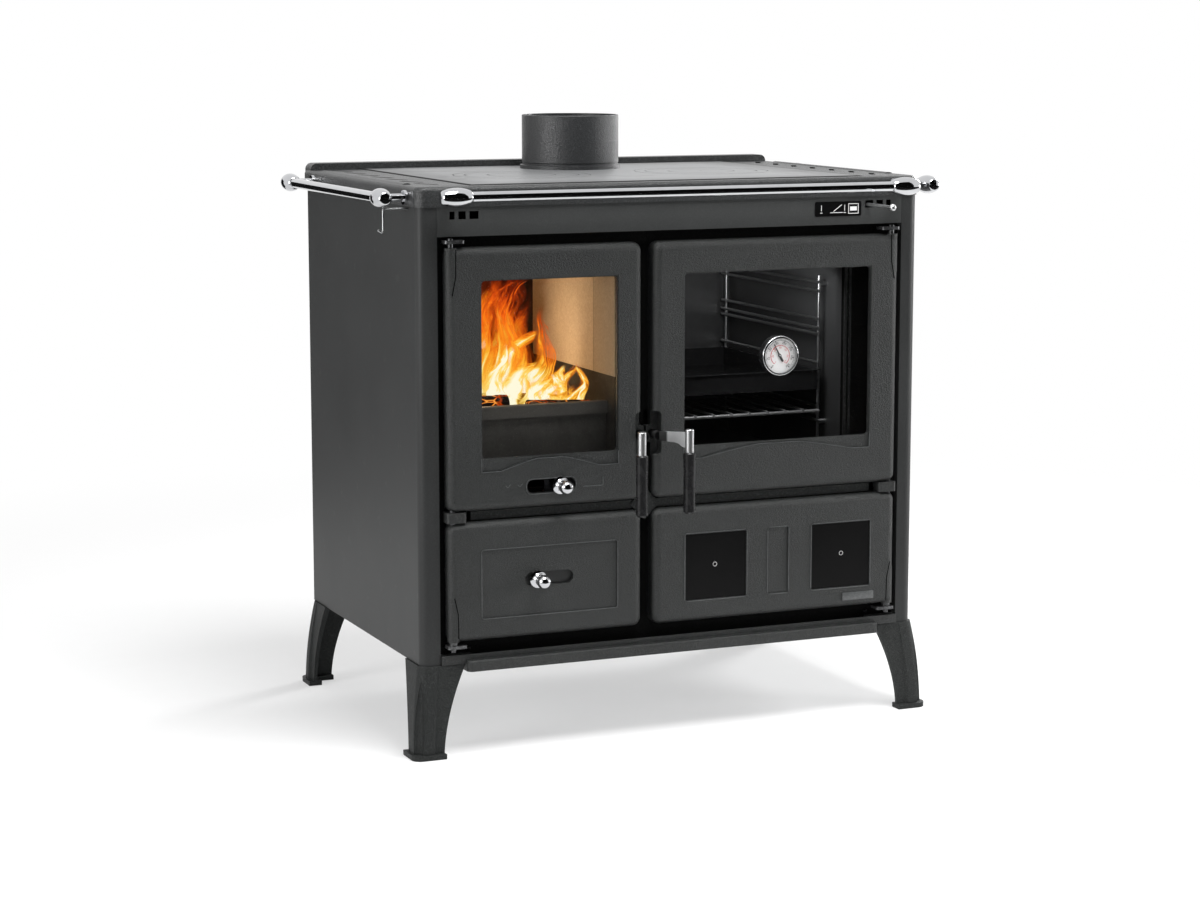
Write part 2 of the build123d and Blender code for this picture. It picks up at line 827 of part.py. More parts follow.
with BuildPart() as leg_front_left:
    for leg_height, (splay, step, arm) in zip(leg_heights, leg_sections):
        with BuildSketch(level(leg_height)):
            leg_outline(splay, step, arm)
    loft()
    for groove_height, groove_radius, groove_inset in leg_groove:
        splay = leg_splay(groove_height)
        groove_x = -(leg_corner_x + splay) + groove_inset
        groove_y = leg_corner_depth - splay + groove_inset
        with BuildSketch(level(groove_height)):
            with Locations((groove_x, groove_y)):
                Circle(groove_radius)
    loft(mode=Mode.SUBTRACT)
    flange_start = leg_wall - leg_flange_lap
    flange_end = leg_arm_top - leg_flange_inset
    slab(
        (-leg_corner_x + flange_start, -leg_corner_x + flange_end),
        (leg_corner_depth + flange_start, leg_corner_depth + flange_end),
        (cabinet_floor - leg_flange_thickness, cabinet_floor),
    )
    last_splay = leg_sections[-1][0]
    foot_x = -(leg_corner_x + last_splay + foot_margin)
    foot_y = leg_corner_depth - last_splay - foot_margin
    foot_reach = leg_sections[-1][2] + foot_margin + foot_lap
    foot_width = leg_wall + 3 * foot_margin
    with BuildSketch(level(0)):
        with BuildLine():
            Polyline(
                (foot_x, foot_y),
                (foot_x + foot_reach, foot_y),
                (foot_x + foot_reach, foot_y + foot_width),
                (foot_x + foot_width, foot_y + foot_width),
                (foot_x + foot_width, foot_y + foot_reach),
                (foot_x, foot_y + foot_reach),
                close=True,
            )
        make_face()
        outer_corner = vertices().sort_by(lambda vertex: vertex.X + vertex.Y)[0]
        fillet(outer_corner, foot_corner)
    extrude(amount=foot_thickness)
    fillet(faces().sort_by(Axis.Z)[0].edges(), foot_edge)
finish(leg_front_left, "leg_front_left")

middle_plane = Plane.XZ.offset(-(front_y + cabinet_depth / 2))
with BuildPart() as leg_front_right:
    mirror(leg_front_left.part, about=Plane.YZ)
finish(leg_front_right, "leg_front_right")

with BuildPart() as leg_rear_left:
    mirror(leg_front_left.part, about=middle_plane)
finish(leg_rear_left, "leg_rear_left")

with BuildPart() as leg_rear_right:
    mirror(leg_rear_left.part, about=Plane.YZ)
finish(leg_rear_right, "leg_rear_right")

# ---- firebox ----
box_left = firebox_left + firebox_wall
box_right = firebox_right - firebox_wall
box_back = firebox_depth - firebox_wall
with BuildPart() as firebox_shell:
    slab(
        (firebox_left, firebox_right),
        (cast_back, firebox_depth),
        (store_bottom - firebox_wall, chamber_floor),
    )
    slab((box_left, box_right), (cast_back, box_back), (store_bottom, chamber_floor), mode=Mode.SUBTRACT)
    for ledge in ((box_left, box_left + shell_ledge), (box_right - shell_ledge, box_right)):
        slab(ledge, (cast_back, box_back), (surround_bottom - shell_ledge_thickness, surround_bottom))
finish(firebox_shell, "firebox_shell")

# The cast surround: two cheeks and a back in line with the liners above, and a flange below.
inside = (box_left + moving_gap, box_right - moving_gap)
hearth = (inside[0] + liner_thickness, inside[1] - liner_thickness)
lining_front = cast_back + moving_gap
lining_back = box_back - moving_gap
plate_thickness = 20.0
plate_front = lining_back - plate_thickness
flange_top = surround_bottom + surround_flange
guard_back = guard_front + guard_thickness
with BuildPart() as firebox_surround:
    slab(inside, (lining_front, lining_back), (surround_bottom, surround_top))
    slab(hearth, (lining_front, plate_front), (flange_top, surround_top), mode=Mode.SUBTRACT)
    slab(
        (hearth[0] + surround_ledge, hearth[1] - surround_ledge),
        (guard_back + surround_ledge, plate_front - surround_ledge),
        (surround_bottom, flange_top),
        mode=Mode.SUBTRACT,
    )
finish(firebox_surround, "firebox_surround")

guard_top = flange_top + guard_height
grate_x = (hearth[0] + moving_gap, hearth[1] - moving_gap)
grate_depth = (guard_back + moving_gap, plate_front - moving_gap)
grate_bars = 9
with BuildPart() as firebox_grate:
    slab(grate_x, grate_depth, (flange_top, flange_top + grate_thickness))
    bar_pitch = (grate_x[1] - grate_x[0] - 2 * grate_margin) / grate_bars
    with BuildSketch(level(flange_top)):
        middle_x = (grate_x[0] + grate_x[1]) / 2
        middle_depth = (grate_depth[0] + grate_depth[1]) / 2
        slot_run = grate_depth[1] - grate_depth[0] - 2 * grate_slot_margin
        with Locations((middle_x, middle_depth)):
            with GridLocations(bar_pitch, 0, grate_bars, 1):
                SlotOverall(slot_run, grate_slot_width, rotation=90)
    extrude(amount=grate_thickness, mode=Mode.SUBTRACT)
finish(firebox_grate, "firebox_grate")

guard_band = 19.0
guard_band_reach = 6.0
guard_edge_round = 2.0
with BuildPart() as log_guard:
    slab(grate_x, (guard_front, guard_back), (flange_top, guard_top))
    slab(grate_x, (guard_front - guard_band_reach, guard_front), (guard_top - guard_band, guard_top))
    fillet(edges().filter_by(Axis.X).group_by(Axis.Z)[-1], guard_edge_round)
finish(log_guard, "log_guard")

with BuildPart() as firebox_side_liners:
    for start in (inside[0], inside[1] - liner_thickness):
        for run in ((lining_front, liner_split - moving_gap), (liner_split, plate_front - moving_gap)):
            slab((start, start + liner_thickness), run, (surround_top, liner_top))
finish(firebox_side_liners, "firebox_side_liners")

with BuildPart() as firebox_back_plate:
    slab(inside, (plate_front, lining_back), (surround_top, liner_top))
finish(firebox_back_plate, "firebox_back_plate")

with BuildPart() as smoke_baffle:
    slab(inside, (baffle_front, lining_back), (liner_top, liner_top + liner_thickness))
finish(smoke_baffle, "smoke_baffle")

drawer_x = (box_left + drawer_side_gap, box_right - drawer_side_gap)
drawer_depth = (cast_back + drawer_end_gap, box_back - drawer_end_gap)
drawer_z = (store_bottom, store_bottom + drawer_height)
with BuildPart() as ash_drawer:
    slab(drawer_x, drawer_depth, drawer_z)
    slab(
        (drawer_x[0] + drawer_wall, drawer_x[1] - drawer_wall),
        (drawer_depth[0] + drawer_wall, drawer_depth[1] - drawer_wall),
        (drawer_z[0] + drawer_wall, drawer_z[1]),
        mode=Mode.SUBTRACT,
    )
    drawer_middle = (drawer_x[0] + drawer_x[1]) / 2
    with BuildSketch(facing(drawer_depth[0] + drawer_wall)):
        with Locations((drawer_middle, drawer_z[1] - pull_slot_drop)):
            SlotOverall(*pull_slot)
    extrude(amount=drawer_wall, mode=Mode.SUBTRACT)
finish(ash_drawer, "ash_drawer")

# ---- oven and wood compartment ----
with BuildPart() as oven_box:
    slab((oven_left, oven_right), (cast_back, oven_depth), (oven_bottom, chamber_floor))
    slab(
        (oven_left + sheet, oven_right - sheet),
        (cast_back, oven_depth - sheet),
        (oven_bottom + sheet, chamber_floor - sheet),
        mode=Mode.SUBTRACT,
    )
finish(oven_box, "oven_box")

with BuildPart() as wood_box:
    slab((store_left, store_right), (cast_back, store_depth), (store_bottom - sheet, store_top))
    slab(
        (store_left + sheet, store_right - sheet),
        (cast_back, store_depth - sheet),
        (store_bottom, store_top - sheet),
        mode=Mode.SUBTRACT,
    )
finish(wood_box, "wood_box")

rack_wall = {-1: oven_left + sheet, 1: oven_right - sheet}
rack_x = {side: rack_wall[side] - side * rack_offset for side in (-1, 1)}
rack_bottom = oven_bottom + rack_foot
rung_z = [oven_bottom + rung for rung in rack_rungs]
rung_x = {side: rack_x[side] - side * (2 * rack_wire - wire_sink) for side in (-1, 1)}
rung_overrun = 6.0
stud_flare = 1.5
with BuildPart() as oven_racks:
    for side in (-1, 1):
        for along in (rack_front, rack_back):
            rack_top = rack_bottom + rack_height
            rod((rack_x[side], along, rack_bottom), (rack_x[side], along, rack_top), rack_wire)
            for stud_z in (rung_z[0] - rack_wire, rung_z[-1] - rack_wire):
                rod((rack_wall[side], along, stud_z), (rack_x[side], along, stud_z), rack_wire + stud_flare)
        for rung in rung_z:
            start = (rung_x[side], rack_front - rung_overrun, rung)
            rod(start, (rung_x[side], rack_back + rung_overrun, rung), rack_wire)
finish(oven_racks, "oven_racks")

shelf_lap = 1.0
shelf_x = (rung_x[-1] - shelf_lap, rung_x[1] + shelf_lap)
shelf_front = 65.0
grid_end_gap = 4.0
grid_wire_step = 0.5
with BuildPart() as oven_grid:
    grid_z = rung_z[grid_rung] + 2 * rack_wire
    grid_end = rack_back - grid_end_gap
    for along in (shelf_front, grid_end):
        rod((shelf_x[0], along, grid_z), (shelf_x[1], along, grid_z), rack_wire)
    grid_rods = int((shelf_x[1] - shelf_x[0]) / grid_pitch)
    grid_start = (shelf_x[0] + shelf_x[1] - (grid_rods - 1) * grid_pitch) / 2
    for index in range(grid_rods):
        x = grid_start + index * grid_pitch
        wire_z = grid_z + rack_wire
        rod(
            (x, shelf_front - rack_wire, wire_z),
            (x, grid_end + rack_wire, wire_z),
            rack_wire - grid_wire_step,
        )
finish(oven_grid, "oven_grid")

tray_drop = 30.0
tray_sheet = 1.6
tray_lip = 2.0
tray_front_gap = 5.0
tray_back_gap = 10.0
tray_depth = (shelf_front - tray_front_gap, rack_back - tray_back_gap)
with BuildPart() as baking_tray:
    tray_z = rung_z[tray_rung] + rack_wire
    tray_well = (rung_x[-1] + rack_wire + tray_lip, rung_x[1] - rack_wire - tray_lip)
    slab(shelf_x, tray_depth, (tray_z, tray_z + tray_sheet))
    well_depth = (tray_depth[0] + tray_lip, tray_depth[1] - tray_lip)
    slab(tray_well, well_depth, (tray_z - tray_drop, tray_z + tray_sheet))
    slab(
        (tray_well[0] + tray_sheet, tray_well[1] - tray_sheet),
        (well_depth[0] + tray_sheet, well_depth[1] - tray_sheet),
        (tray_z - tray_drop + tray_sheet, tray_z + tray_sheet),
        mode=Mode.SUBTRACT,
    )
finish(baking_tray, "baking_tray")

# ---- hinge lugs with their pins ----
middle_lug_height = upper_bottom - lower_top - 2 * moving_gap
lug_levels = ((top_lug, lug_thickness), (middle_lug, middle_lug_height), (bottom_lug, lug_thickness))
with BuildPart() as hinge_lugs:
    lug_back = cast_front
    for side in (-1, 1):
        for lug_z, thickness in lug_levels:
            with BuildSketch(level(lug_z)):
                inward = -side * (lug_length / 2 - barrel_radius - lug_overhang)
                with Locations((side * hinge_x + inward, (lug_back + hinge_depth - barrel_radius) / 2)):
                    RectangleRounded(lug_length, lug_back - hinge_depth + barrel_radius, lug_corner)
            extrude(amount=thickness)
        pin_x = side * hinge_x
        rod(
            (pin_x, hinge_depth, middle_lug),
            (pin_x, hinge_depth, upper_bottom + pin_engagement - pin_end_gap),
            pin_radius,
        )
        rod(
            (pin_x, hinge_depth, middle_lug),
            (pin_x, hinge_depth, lower_top - pin_engagement + pin_end_gap),
            pin_radius,
        )
        top_end = top_lug + lug_thickness + pin_head
        rod(
            (pin_x, hinge_depth, upper_top - pin_engagement + pin_end_gap),
            (pin_x, hinge_depth, top_end),
            pin_radius,
        )
        lug_top = bottom_lug + lug_thickness
        rod((pin_x, hinge_depth, lug_top), (pin_x, hinge_depth, lower_bottom - moving_gap), lug_shoulder)
        rod(
            (pin_x, hinge_depth, bottom_lug - pin_tail),
            (pin_x, hinge_depth, lower_bottom + pin_engagement - pin_end_gap),
            pin_radius,
        )
finish(hinge_lugs, "hinge_lugs")


# ---- doors ----
def door_range(side):
    """The X range of a door: its outer edge at the hinge, its inner edge at the middle gap."""
    return (-door_outer, left_door_edge) if side < 0 else (right_door_edge, door_outer)


def door_blank(side, z, barrel_at_top, low_rim=door_rim):
    """A pillow-edged casting, hollow at the back, with its hinge barrel and pin bores."""
    x = door_range(side)
    with BuildSketch(facing(door_back)) as outline:
        rounded_window(x, z, door_corner)
    extrude(outline.sketch, amount=door_back - door_front)
    fillet(faces().sort_by(Axis.Y)[0].edges(), door_front_round)
    with BuildSketch(level(z[0])) as relief:
        with Locations((side * (door_outer - door_hinge_relief / 2), door_back - door_hinge_relief / 2)):
            Rectangle(door_hinge_relief, door_hinge_relief)
        with Locations((side * (door_outer - door_hinge_relief), door_back - door_hinge_relief)):
            Circle(door_hinge_relief, mode=Mode.SUBTRACT)
    extrude(relief.sketch, amount=z[1] - z[0], mode=Mode.SUBTRACT)
    pocket_x = (x[0] + door_rim, x[1] - door_rim)
    pocket_z = (z[0] + low_rim, z[1] - door_rim)
    with BuildSketch(facing(door_back)) as pocket:
        rounded_window(pocket_x, pocket_z, door_pocket_corner)
    extrude(pocket.sketch, amount=door_back - door_front - door_wall, mode=Mode.SUBTRACT)
    barrel_z = (z[1] - barrel_length, z[1]) if barrel_at_top else (z[0], z[0] + barrel_length)
    rod(
        (side * hinge_x, hinge_depth, barrel_z[0]),
        (side * hinge_x, hinge_depth, barrel_z[1]),
        barrel_radius,
    )
    bore = pin_radius + pin_clearance
    for end, inward in ((z[0], 1), (z[1], -1)):
        start = (side * hinge_x, hinge_depth, end - inward)
        rod(start, (side * hinge_x, hinge_depth, end + inward * pin_engagement), bore, mode=Mode.SUBTRACT)


def seal_ring(side, z):
    """The rope's ring, as a sketch face at the back of the door."""
    x = door_range(side)
    outer_x = (x[0] + seal_inset, x[1] - seal_inset)
    outer_z = (z[0] + seal_low_inset, z[1] - seal_inset)
    rounded_window(outer_x, outer_z, seal_corner)
    with BuildSketch(mode=Mode.PRIVATE) as middle:
        inner_x = (outer_x[0] + seal_width, outer_x[1] - seal_width)
        inner_z = (outer_z[0] + seal_width, outer_z[1] - seal_width)
        rounded_window(inner_x, inner_z, seal_corner - seal_width)
    add(middle.sketch, mode=Mode.SUBTRACT)


def cut_window(window):
    """The window, and the shallow step round it with its arched apron below."""
    left, right = window[0] - apron_margin, window[1] + apron_margin
    middle = (left + right) / 2
    arch = (right - left) / 2 - apron_flat
    with BuildSketch(facing(door_front + apron_depth)) as apron:
        with BuildLine():
            Polyline(
                (left + apron_flat, apron_bottom),
                (left, apron_bottom),
                (left, window_top + apron_margin),
            )
            Line((left, window_top + apron_margin), (right, window_top + apron_margin))
            Polyline(
                (right, window_top + apron_margin),
                (right, apron_bottom),
                (right - apron_flat, apron_bottom),
            )
            Spline(
                (right - apron_flat, apron_bottom),
                (middle + arch * apron_shoulder[0], apron_crown - apron_shoulder[1]),
                (middle, apron_crown),
                (middle - arch * apron_shoulder[0], apron_crown - apron_shoulder[1]),
                (left + apron_flat, apron_bottom),
            )
        make_face()
    extrude(apron.sketch, amount=apron_depth, mode=Mode.SUBTRACT)
    with BuildSketch(facing(door_back)) as pane:
        rounded_window(window, (window_bottom, window_top), window_corner)
    extrude(pane.sketch, amount=door_back - door_front, mode=Mode.SUBTRACT)


def cut_latch_notch(side):
    """The notch in the inner edge, and the bush behind it that carries the handle's shaft."""
    edge = left_door_edge if side < 0 else right_door_edge
    pivot = gap_middle + side * pivot_offset
    notch_back = door_front + notch_depth
    with BuildSketch(facing(notch_back)) as notch:
        rounded_window((edge - notch_width, edge + notch_width), (notch_bottom, notch_top), notch_corner)
    extrude(notch.sketch, amount=notch_depth, mode=Mode.SUBTRACT)
    bush_end = pivot - side * bush_reach
    bush_x = (min(bush_end, edge + side * notch_width), max(bush_end, edge + side * notch_width))
    slab(
        bush_x,
        (notch_back, door_back),
        (pivot_height - bush_half_height, pivot_height + bush_half_height),
    )
    rod(
        (pivot, door_front, pivot_height),
        (pivot, door_back, pivot_height),
        shaft_radius + shaft_clearance,
        mode=Mode.SUBTRACT,
    )


def cut_air_slot(slot):
    """The slot that the air knob travels in, and the two ribs that guide the plate behind it."""
    wall_back = door_front + door_wall
    with BuildSketch(facing(wall_back)) as opening:
        with Locations(slot):
            SlotOverall(air_slot_length, air_slot_height)
    extrude(opening.sketch, amount=door_wall, mode=Mode.SUBTRACT)
    rib_back = wall_back + air_plate_gap + air_plate_thickness
    for direction in (-1, 1):
        inner = slot[1] + direction * (air_plate_height / 2 + air_plate_gap)
        outer = inner + direction * air_rib
        rib_x = (-door_outer + door_rim, left_door_edge - door_rim)
        slab(rib_x, (wall_back, rib_back), (min(inner, outer), max(inner, outer)))


with BuildPart() as firebox_door:
    door_blank(-1, (upper_bottom, upper_top), True, door_low_rim)
    cut_window(firebox_window)
    cut_latch_notch(-1)
    cut_air_slot(upper_air_slot)
    with BuildSketch(facing(door_back)):
        seal_ring(-1, (upper_bottom, upper_top))
    extrude(amount=seal_depth, mode=Mode.SUBTRACT)
finish(firebox_door, "firebox_door")

with BuildPart() as oven_door:
    door_blank(1, (upper_bottom, upper_top), True, door_low_rim)
    cut_window(oven_window)
    cut_latch_notch(1)
    with BuildSketch(facing(door_back)):
        seal_ring(1, (upper_bottom, upper_top))
    extrude(amount=seal_depth, mode=Mode.SUBTRACT)
finish(oven_door, "oven_door")

panel_rise = 34.0
panel_drop = 44.0
panel_corner_round = 1.5
panel_frame = (lower_bottom + panel_rise, lower_top - panel_drop)
ash_panel = (-327.0, -106.0)
panel_line = 1.2
with BuildPart() as ash_door:
    door_blank(-1, (lower_bottom, lower_top), False)
    with BuildSketch(facing(door_front + panel_line)):
        rounded_window(ash_panel, panel_frame, panel_corner_round)
    extrude(amount=panel_line, mode=Mode.SUBTRACT)
    cut_air_slot(lower_air_slot)
finish(ash_door, "ash_door")

inlay_ranges = ((10.3, 114.6), (230.5, 333.8))
middle_panel = (153.8, 187.8)
inlay_thickness = 2.0
with BuildPart() as wood_door:
    door_blank(1, (lower_bottom, lower_top), False)
    with BuildSketch(facing(door_front + panel_line)):
        rounded_window(middle_panel, panel_frame, panel_corner_round)
    extrude(amount=panel_line, mode=Mode.SUBTRACT)
    with BuildSketch(facing(door_front + panel_line + inlay_thickness)):
        for inlay in inlay_ranges:
            rounded_window(inlay, panel_frame, panel_corner_round)
    extrude(amount=panel_line + inlay_thickness, mode=Mode.SUBTRACT)
finish(wood_door, "wood_door")

with BuildPart() as wood_door_inlays:
    inlay_gap = 0.5
    with BuildSketch(facing(door_front + panel_line + inlay_thickness)):
        for inlay in inlay_ranges:
            inlay_x = (inlay[0] + inlay_gap, inlay[1] - inlay_gap)
            inlay_z = (panel_frame[0] + inlay_gap, panel_frame[1] - inlay_gap)
            rounded_window(inlay_x, inlay_z, panel_corner_round - inlay_gap)
    extrude(amount=inlay_thickness)
finish(wood_door_inlays, "wood_door_inlays")

# ---- rope seals ----
for seal_name, seal_side in (("firebox_door_seal", -1), ("oven_door_seal", 1)):
    with BuildPart() as door_seal:
        with BuildSketch(facing(door_back)):
            seal_ring(seal_side, (upper_bottom, upper_top))
        extrude(amount=seal_depth)
        fillet(faces().sort_by(Axis.Y)[-1].edges(), seal_edge_round)
    finish(door_seal, seal_name)

# ---- glass and clips ----
glass_front = door_front + door_wall
glass_back = glass_front + glass_thickness
thermometer_x = (oven_window[0] + oven_window[1]) / 2
thermometer_z = (window_bottom + window_top) / 2
stem_radius = 4.0


def glass_pane(window):
    """A pane that overlaps the window all round and lies on the back of the door's wall."""
    pane_x = (window[0] - glass_overlap, window[1] + glass_overlap)
    pane_z = (window_bottom - glass_overlap, window_top + glass_overlap)
    with BuildSketch(facing(glass_back)) as pane:
        rounded_window(pane_x, pane_z, glass_corner)
    extrude(pane.sketch, amount=glass_thickness)
    chamfer(faces().sort_by(Axis.Y)[0].edges(), glass_edge_break)


with BuildPart() as firebox_glass:
    glass_pane(firebox_window)
finish(firebox_glass, "firebox_glass")

with BuildPart() as oven_glass:
    glass_pane(oven_window)
    rod(
        (thermometer_x, glass_front, thermometer_z),
        (thermometer_x, glass_back, thermometer_z),
        stem_radius + moving_gap,
        mode=Mode.SUBTRACT,
    )
finish(oven_glass, "oven_glass")

clip_length = 26.0
clip_bite = 8.0
clip_thickness = 2.0
clip_offset = 80.0
clip_reach = 1.5
clip_foot = (0.5, 3.0)
clip_screw_out = 1.0
clip_screw_radius = 3.2
clip_screw_height = 4.5
for clip_name, window in (("firebox_glass_clips", firebox_window), ("oven_glass_clips", oven_window)):
    with BuildPart() as glass_clips:
        middle_z = (window_bottom + window_top) / 2
        for side, edge in ((-1, window[0] - glass_overlap), (1, window[1] + glass_overlap)):
            for offset_z in (-clip_offset, clip_offset):
                z = (middle_z + offset_z - clip_length / 2, middle_z + offset_z + clip_length / 2)
                over = sorted((edge - side * clip_bite, edge + side * clip_reach))
                foot = sorted((edge + side * clip_foot[0], edge + side * clip_foot[1]))
                slab(over, (glass_back, glass_back + clip_thickness), z)
                slab(foot, (glass_front, glass_back + clip_thickness), z)
                seat = (edge + side * clip_screw_out, glass_back, middle_z + offset_z)
                rod(seat, (seat[0], glass_back + clip_screw_height, seat[2]), clip_screw_radius)
    finish(glass_clips, clip_name)


# ---- air slides ----
def slide_plate(knob_x, slot):
    """The plate behind the slot, with its port and the stud that carries the knob."""
    plate_front = door_front + door_wall + air_plate_gap
    with BuildSketch(facing(plate_front + air_plate_thickness)) as plate:
        with Locations((knob_x, slot[1])):
            RectangleRounded(air_plate_length, air_plate_height, air_plate_corner)
        port = (knob_x + air_port[0], knob_x + air_port[1])
        with BuildSketch(mode=Mode.PRIVATE) as port_hole:
            rounded_window(port, (slot[1] - air_port_half, slot[1] + air_port_half), air_port_corner)
        add(port_hole.sketch, mode=Mode.SUBTRACT)
    extrude(plate.sketch, amount=air_plate_thickness)
    rod((knob_x, plate_front, slot[1]), (knob_x, door_front - air_stud_reach, slot[1]), knob_stem_radius)


def slide_knob(knob_x, slot):
    """A turned knob: a cone-backed disc, a neck and a ball, with a blind hole for the stud."""
    disc_back = door_front - knob_seat_gap
    ball = disc_back - knob_ball_reach
    joint_depth = ball + (knob_ball_radius ** 2 - knob_neck_radius ** 2) ** 0.5
    turning = Plane(origin=(knob_x, front_y, slot[1]), x_dir=(0, 0, 1), z_dir=(-1, 0, 0))
    with BuildSketch(turning) as section:
        with BuildLine():
            Polyline(
                (0, disc_back),
                (knob_disc_radius, disc_back),
                (knob_disc_radius, disc_back - knob_disc_edge),
                (knob_disc_radius - knob_disc_slope[0], disc_back - knob_disc_slope[1]),
                (knob_cone_radius, disc_back - knob_cone_length),
                (knob_neck_radius, min(disc_back - knob_cone_length, joint_depth + knob_disc_edge)),
                (knob_neck_radius, joint_depth),
            )
            ThreePointArc(
                (knob_neck_radius, joint_depth),
                (knob_ball_radius, ball),
                (0, ball - knob_ball_radius),
            )
            Line((0, ball - knob_ball_radius), (0, disc_back))
        make_face()
    revolve(section.sketch, axis=Axis((knob_x, front_y, slot[1]), (0, 1, 0)))
    bore_end = door_front - air_stud_reach - moving_gap
    bore = knob_stem_radius + knob_stem_clearance
    rod((knob_x, disc_back, slot[1]), (knob_x, bore_end, slot[1]), bore, mode=Mode.SUBTRACT)


air_slides = (
    ("firebox_air", upper_knob_x, upper_air_slot),
    ("ash_air", lower_knob_x, lower_air_slot),
)
for air_name, knob_x, slot in air_slides:
    with BuildPart() as air_plate:
        slide_plate(knob_x, slot)
    finish(air_plate, f"{air_name}_slide")
    with BuildPart() as air_knob:
        slide_knob(knob_x, slot)
    finish(air_knob, f"{air_name}_knob")


# ---- handles ----
def handle_arm(side):
    """The eye on the shaft, the flat arm out to the sleeve, the sleeve, and the grip's core."""
    pivot = gap_middle + side * pivot_offset
    sleeve_x = gap_middle + side * sleeve_offset
    rod((pivot, eye_front, pivot_height), (pivot, eye_back, pivot_height), eye_radius)
    eye_middle = (eye_front + eye_back) / 2
    run = (sleeve_x - pivot, sleeve_depth - eye_middle)
    length = hypot(*run)
    along = (run[0] / length, run[1] / length, 0)
    plate_plane = Plane(
        origin=(pivot, front_y + eye_middle, pivot_height),
        x_dir=along,
        z_dir=(along[1], -along[0], 0),
    )
    with BuildSketch(plate_plane) as section:
        with BuildLine():
            root = eye_radius - arm_eye_lap
            low = [(length - step * arm_bottom_run, -drop) for step, drop in enumerate(arm_bottom_drop)]
            Line((root, arm_half), (length, arm_top_rise))
            Line((length, arm_top_rise), low[0])
            Line(low[0], low[1])
            Spline(low[1], low[2], low[3], tangents=((-1, 0.15), (-1, 0)))
            Line(low[3], (root, -arm_half))
            Line((root, -arm_half), (root, arm_half))
        make_face()
    extrude(section.sketch, amount=arm_thickness / 2, both=True)
    rod((sleeve_x, sleeve_depth, sleeve_bottom), (sleeve_x, sleeve_depth, sleeve_top), sleeve_radius)
    fillet(faces().sort_by(Axis.Z)[-1].edges(), sleeve_edge_round)
    rod(
        (sleeve_x, sleeve_depth, sleeve_bottom),
        (sleeve_x, sleeve_depth, sleeve_bottom - core_length),
        core_radius,
    )
    rod(
        (pivot, eye_front - arm_eye_lap, pivot_height),
        (pivot, eye_back + arm_eye_lap, pivot_height),
        shaft_radius + shaft_clearance,
        mode=Mode.SUBTRACT,
    )


def handle_grip(side):
    """The black grip: a slightly waisted rod with a bore for the arm's core."""
    sleeve_x = gap_middle + side * sleeve_offset
    origin = (sleeve_x, front_y + sleeve_depth, 0)
    with BuildSketch(Plane(origin=origin, x_dir=(1, 0, 0), z_dir=(0, -1, 0))) as section:
        with BuildLine():
            grip_middle = (grip_bottom + sleeve_bottom) / 2
            low_edge = (grip_radius, grip_bottom + grip_low_bevel)
            high_edge = (grip_radius, sleeve_bottom - grip_high_bevel)
            Line((0, grip_bottom), (grip_radius - grip_low_bevel, grip_bottom))
            Line((grip_radius - grip_low_bevel, grip_bottom), low_edge)
            ThreePointArc(low_edge, (grip_radius - grip_waist, grip_middle), high_edge)
            Line(high_edge, (grip_radius - grip_high_bevel, sleeve_bottom))
            Line((grip_radius - grip_high_bevel, sleeve_bottom), (0, sleeve_bottom))
            Line((0, sleeve_bottom), (0, grip_bottom))
        make_face()
    revolve(section.sketch, axis=Axis(origin, (0, 0, 1)))
    rod(
        (sleeve_x, sleeve_depth, sleeve_bottom),
        (sleeve_x, sleeve_depth, sleeve_bottom - core_length - core_end_gap),
        core_radius + core_clearance,
        mode=Mode.SUBTRACT,
    )


def handle_latch(side):
    """The shaft through the door's bush, its washer, and the cam that turns beside the keeper."""
    pivot = gap_middle + side * pivot_offset
    cam_front = door_back + moving_gap
    shaft_front = eye_front - shaft_proud
    rod((pivot, shaft_front, pivot_height), (pivot, cam_front + cam_thickness, pivot_height), shaft_radius)
    lobe = (pivot - cam_half, pivot + cam_half)
    slab(lobe, (cam_front, cam_front + cam_thickness), (pivot_height, pivot_height + cam_reach))
    washer_back = door_front + notch_depth - moving_gap
    washer_front = door_front + notch_depth - shaft_washer
    rod((pivot, washer_front, pivot_height), (pivot, washer_back, pivot_height), washer_radius)


for handle_name, side in (("firebox", -1), ("oven", 1)):
    with BuildPart() as arm:
        handle_arm(side)
    finish(arm, f"{handle_name}_handle_arm")
    with BuildPart() as grip:
        handle_grip(side)
    finish(grip, f"{handle_name}_handle_grip")
    with BuildPart() as latch:
        handle_latch(side)
    finish(latch, f"{handle_name}_latch")

# ---- oven thermometer ----
case_radius = 31.0
case_back = glass_front
case_front = case_back - 15.0
dial_back = case_front + 6.0
needle_back = dial_back - 1.5
needle_bore = 0.85
dial_thickness = 1.0
case_edge_round = 1.8
case_lip = 3.5
case_stem_reach = 26.0
washer_reach = 4.5
washer_thickness = 3.0
pivot_reach = 3.0
pivot_clearance = 0.05
dial_clearance = 0.1
lens_front_gap = 1.2
lens_thickness = 1.2


def disc(depth_front, depth_back, radius, mode=Mode.ADD):
    """A disc about the thermometer's axis."""
    rod(
        (thermometer_x, depth_front, thermometer_z),
        (thermometer_x, depth_back, thermometer_z),
        radius,
        mode=mode,
    )


with BuildPart() as thermometer_case:
    disc(case_front, case_back, case_radius)
    fillet(faces().sort_by(Axis.Y)[0].edges(), case_edge_round)
    disc(case_front, dial_back + dial_thickness, case_radius - case_lip, mode=Mode.SUBTRACT)
    disc(case_back, glass_back + case_stem_reach, stem_radius)
    disc(glass_back, glass_back + washer_thickness, stem_radius + washer_reach)
finish(thermometer_case, "thermometer_case")

with BuildPart() as thermometer_dial:
    disc(dial_back, dial_back + dial_thickness, case_radius - case_lip - dial_clearance)
    disc(dial_back - pivot_reach, dial_back, needle_bore - pivot_clearance)
finish(thermometer_dial, "thermometer_dial")

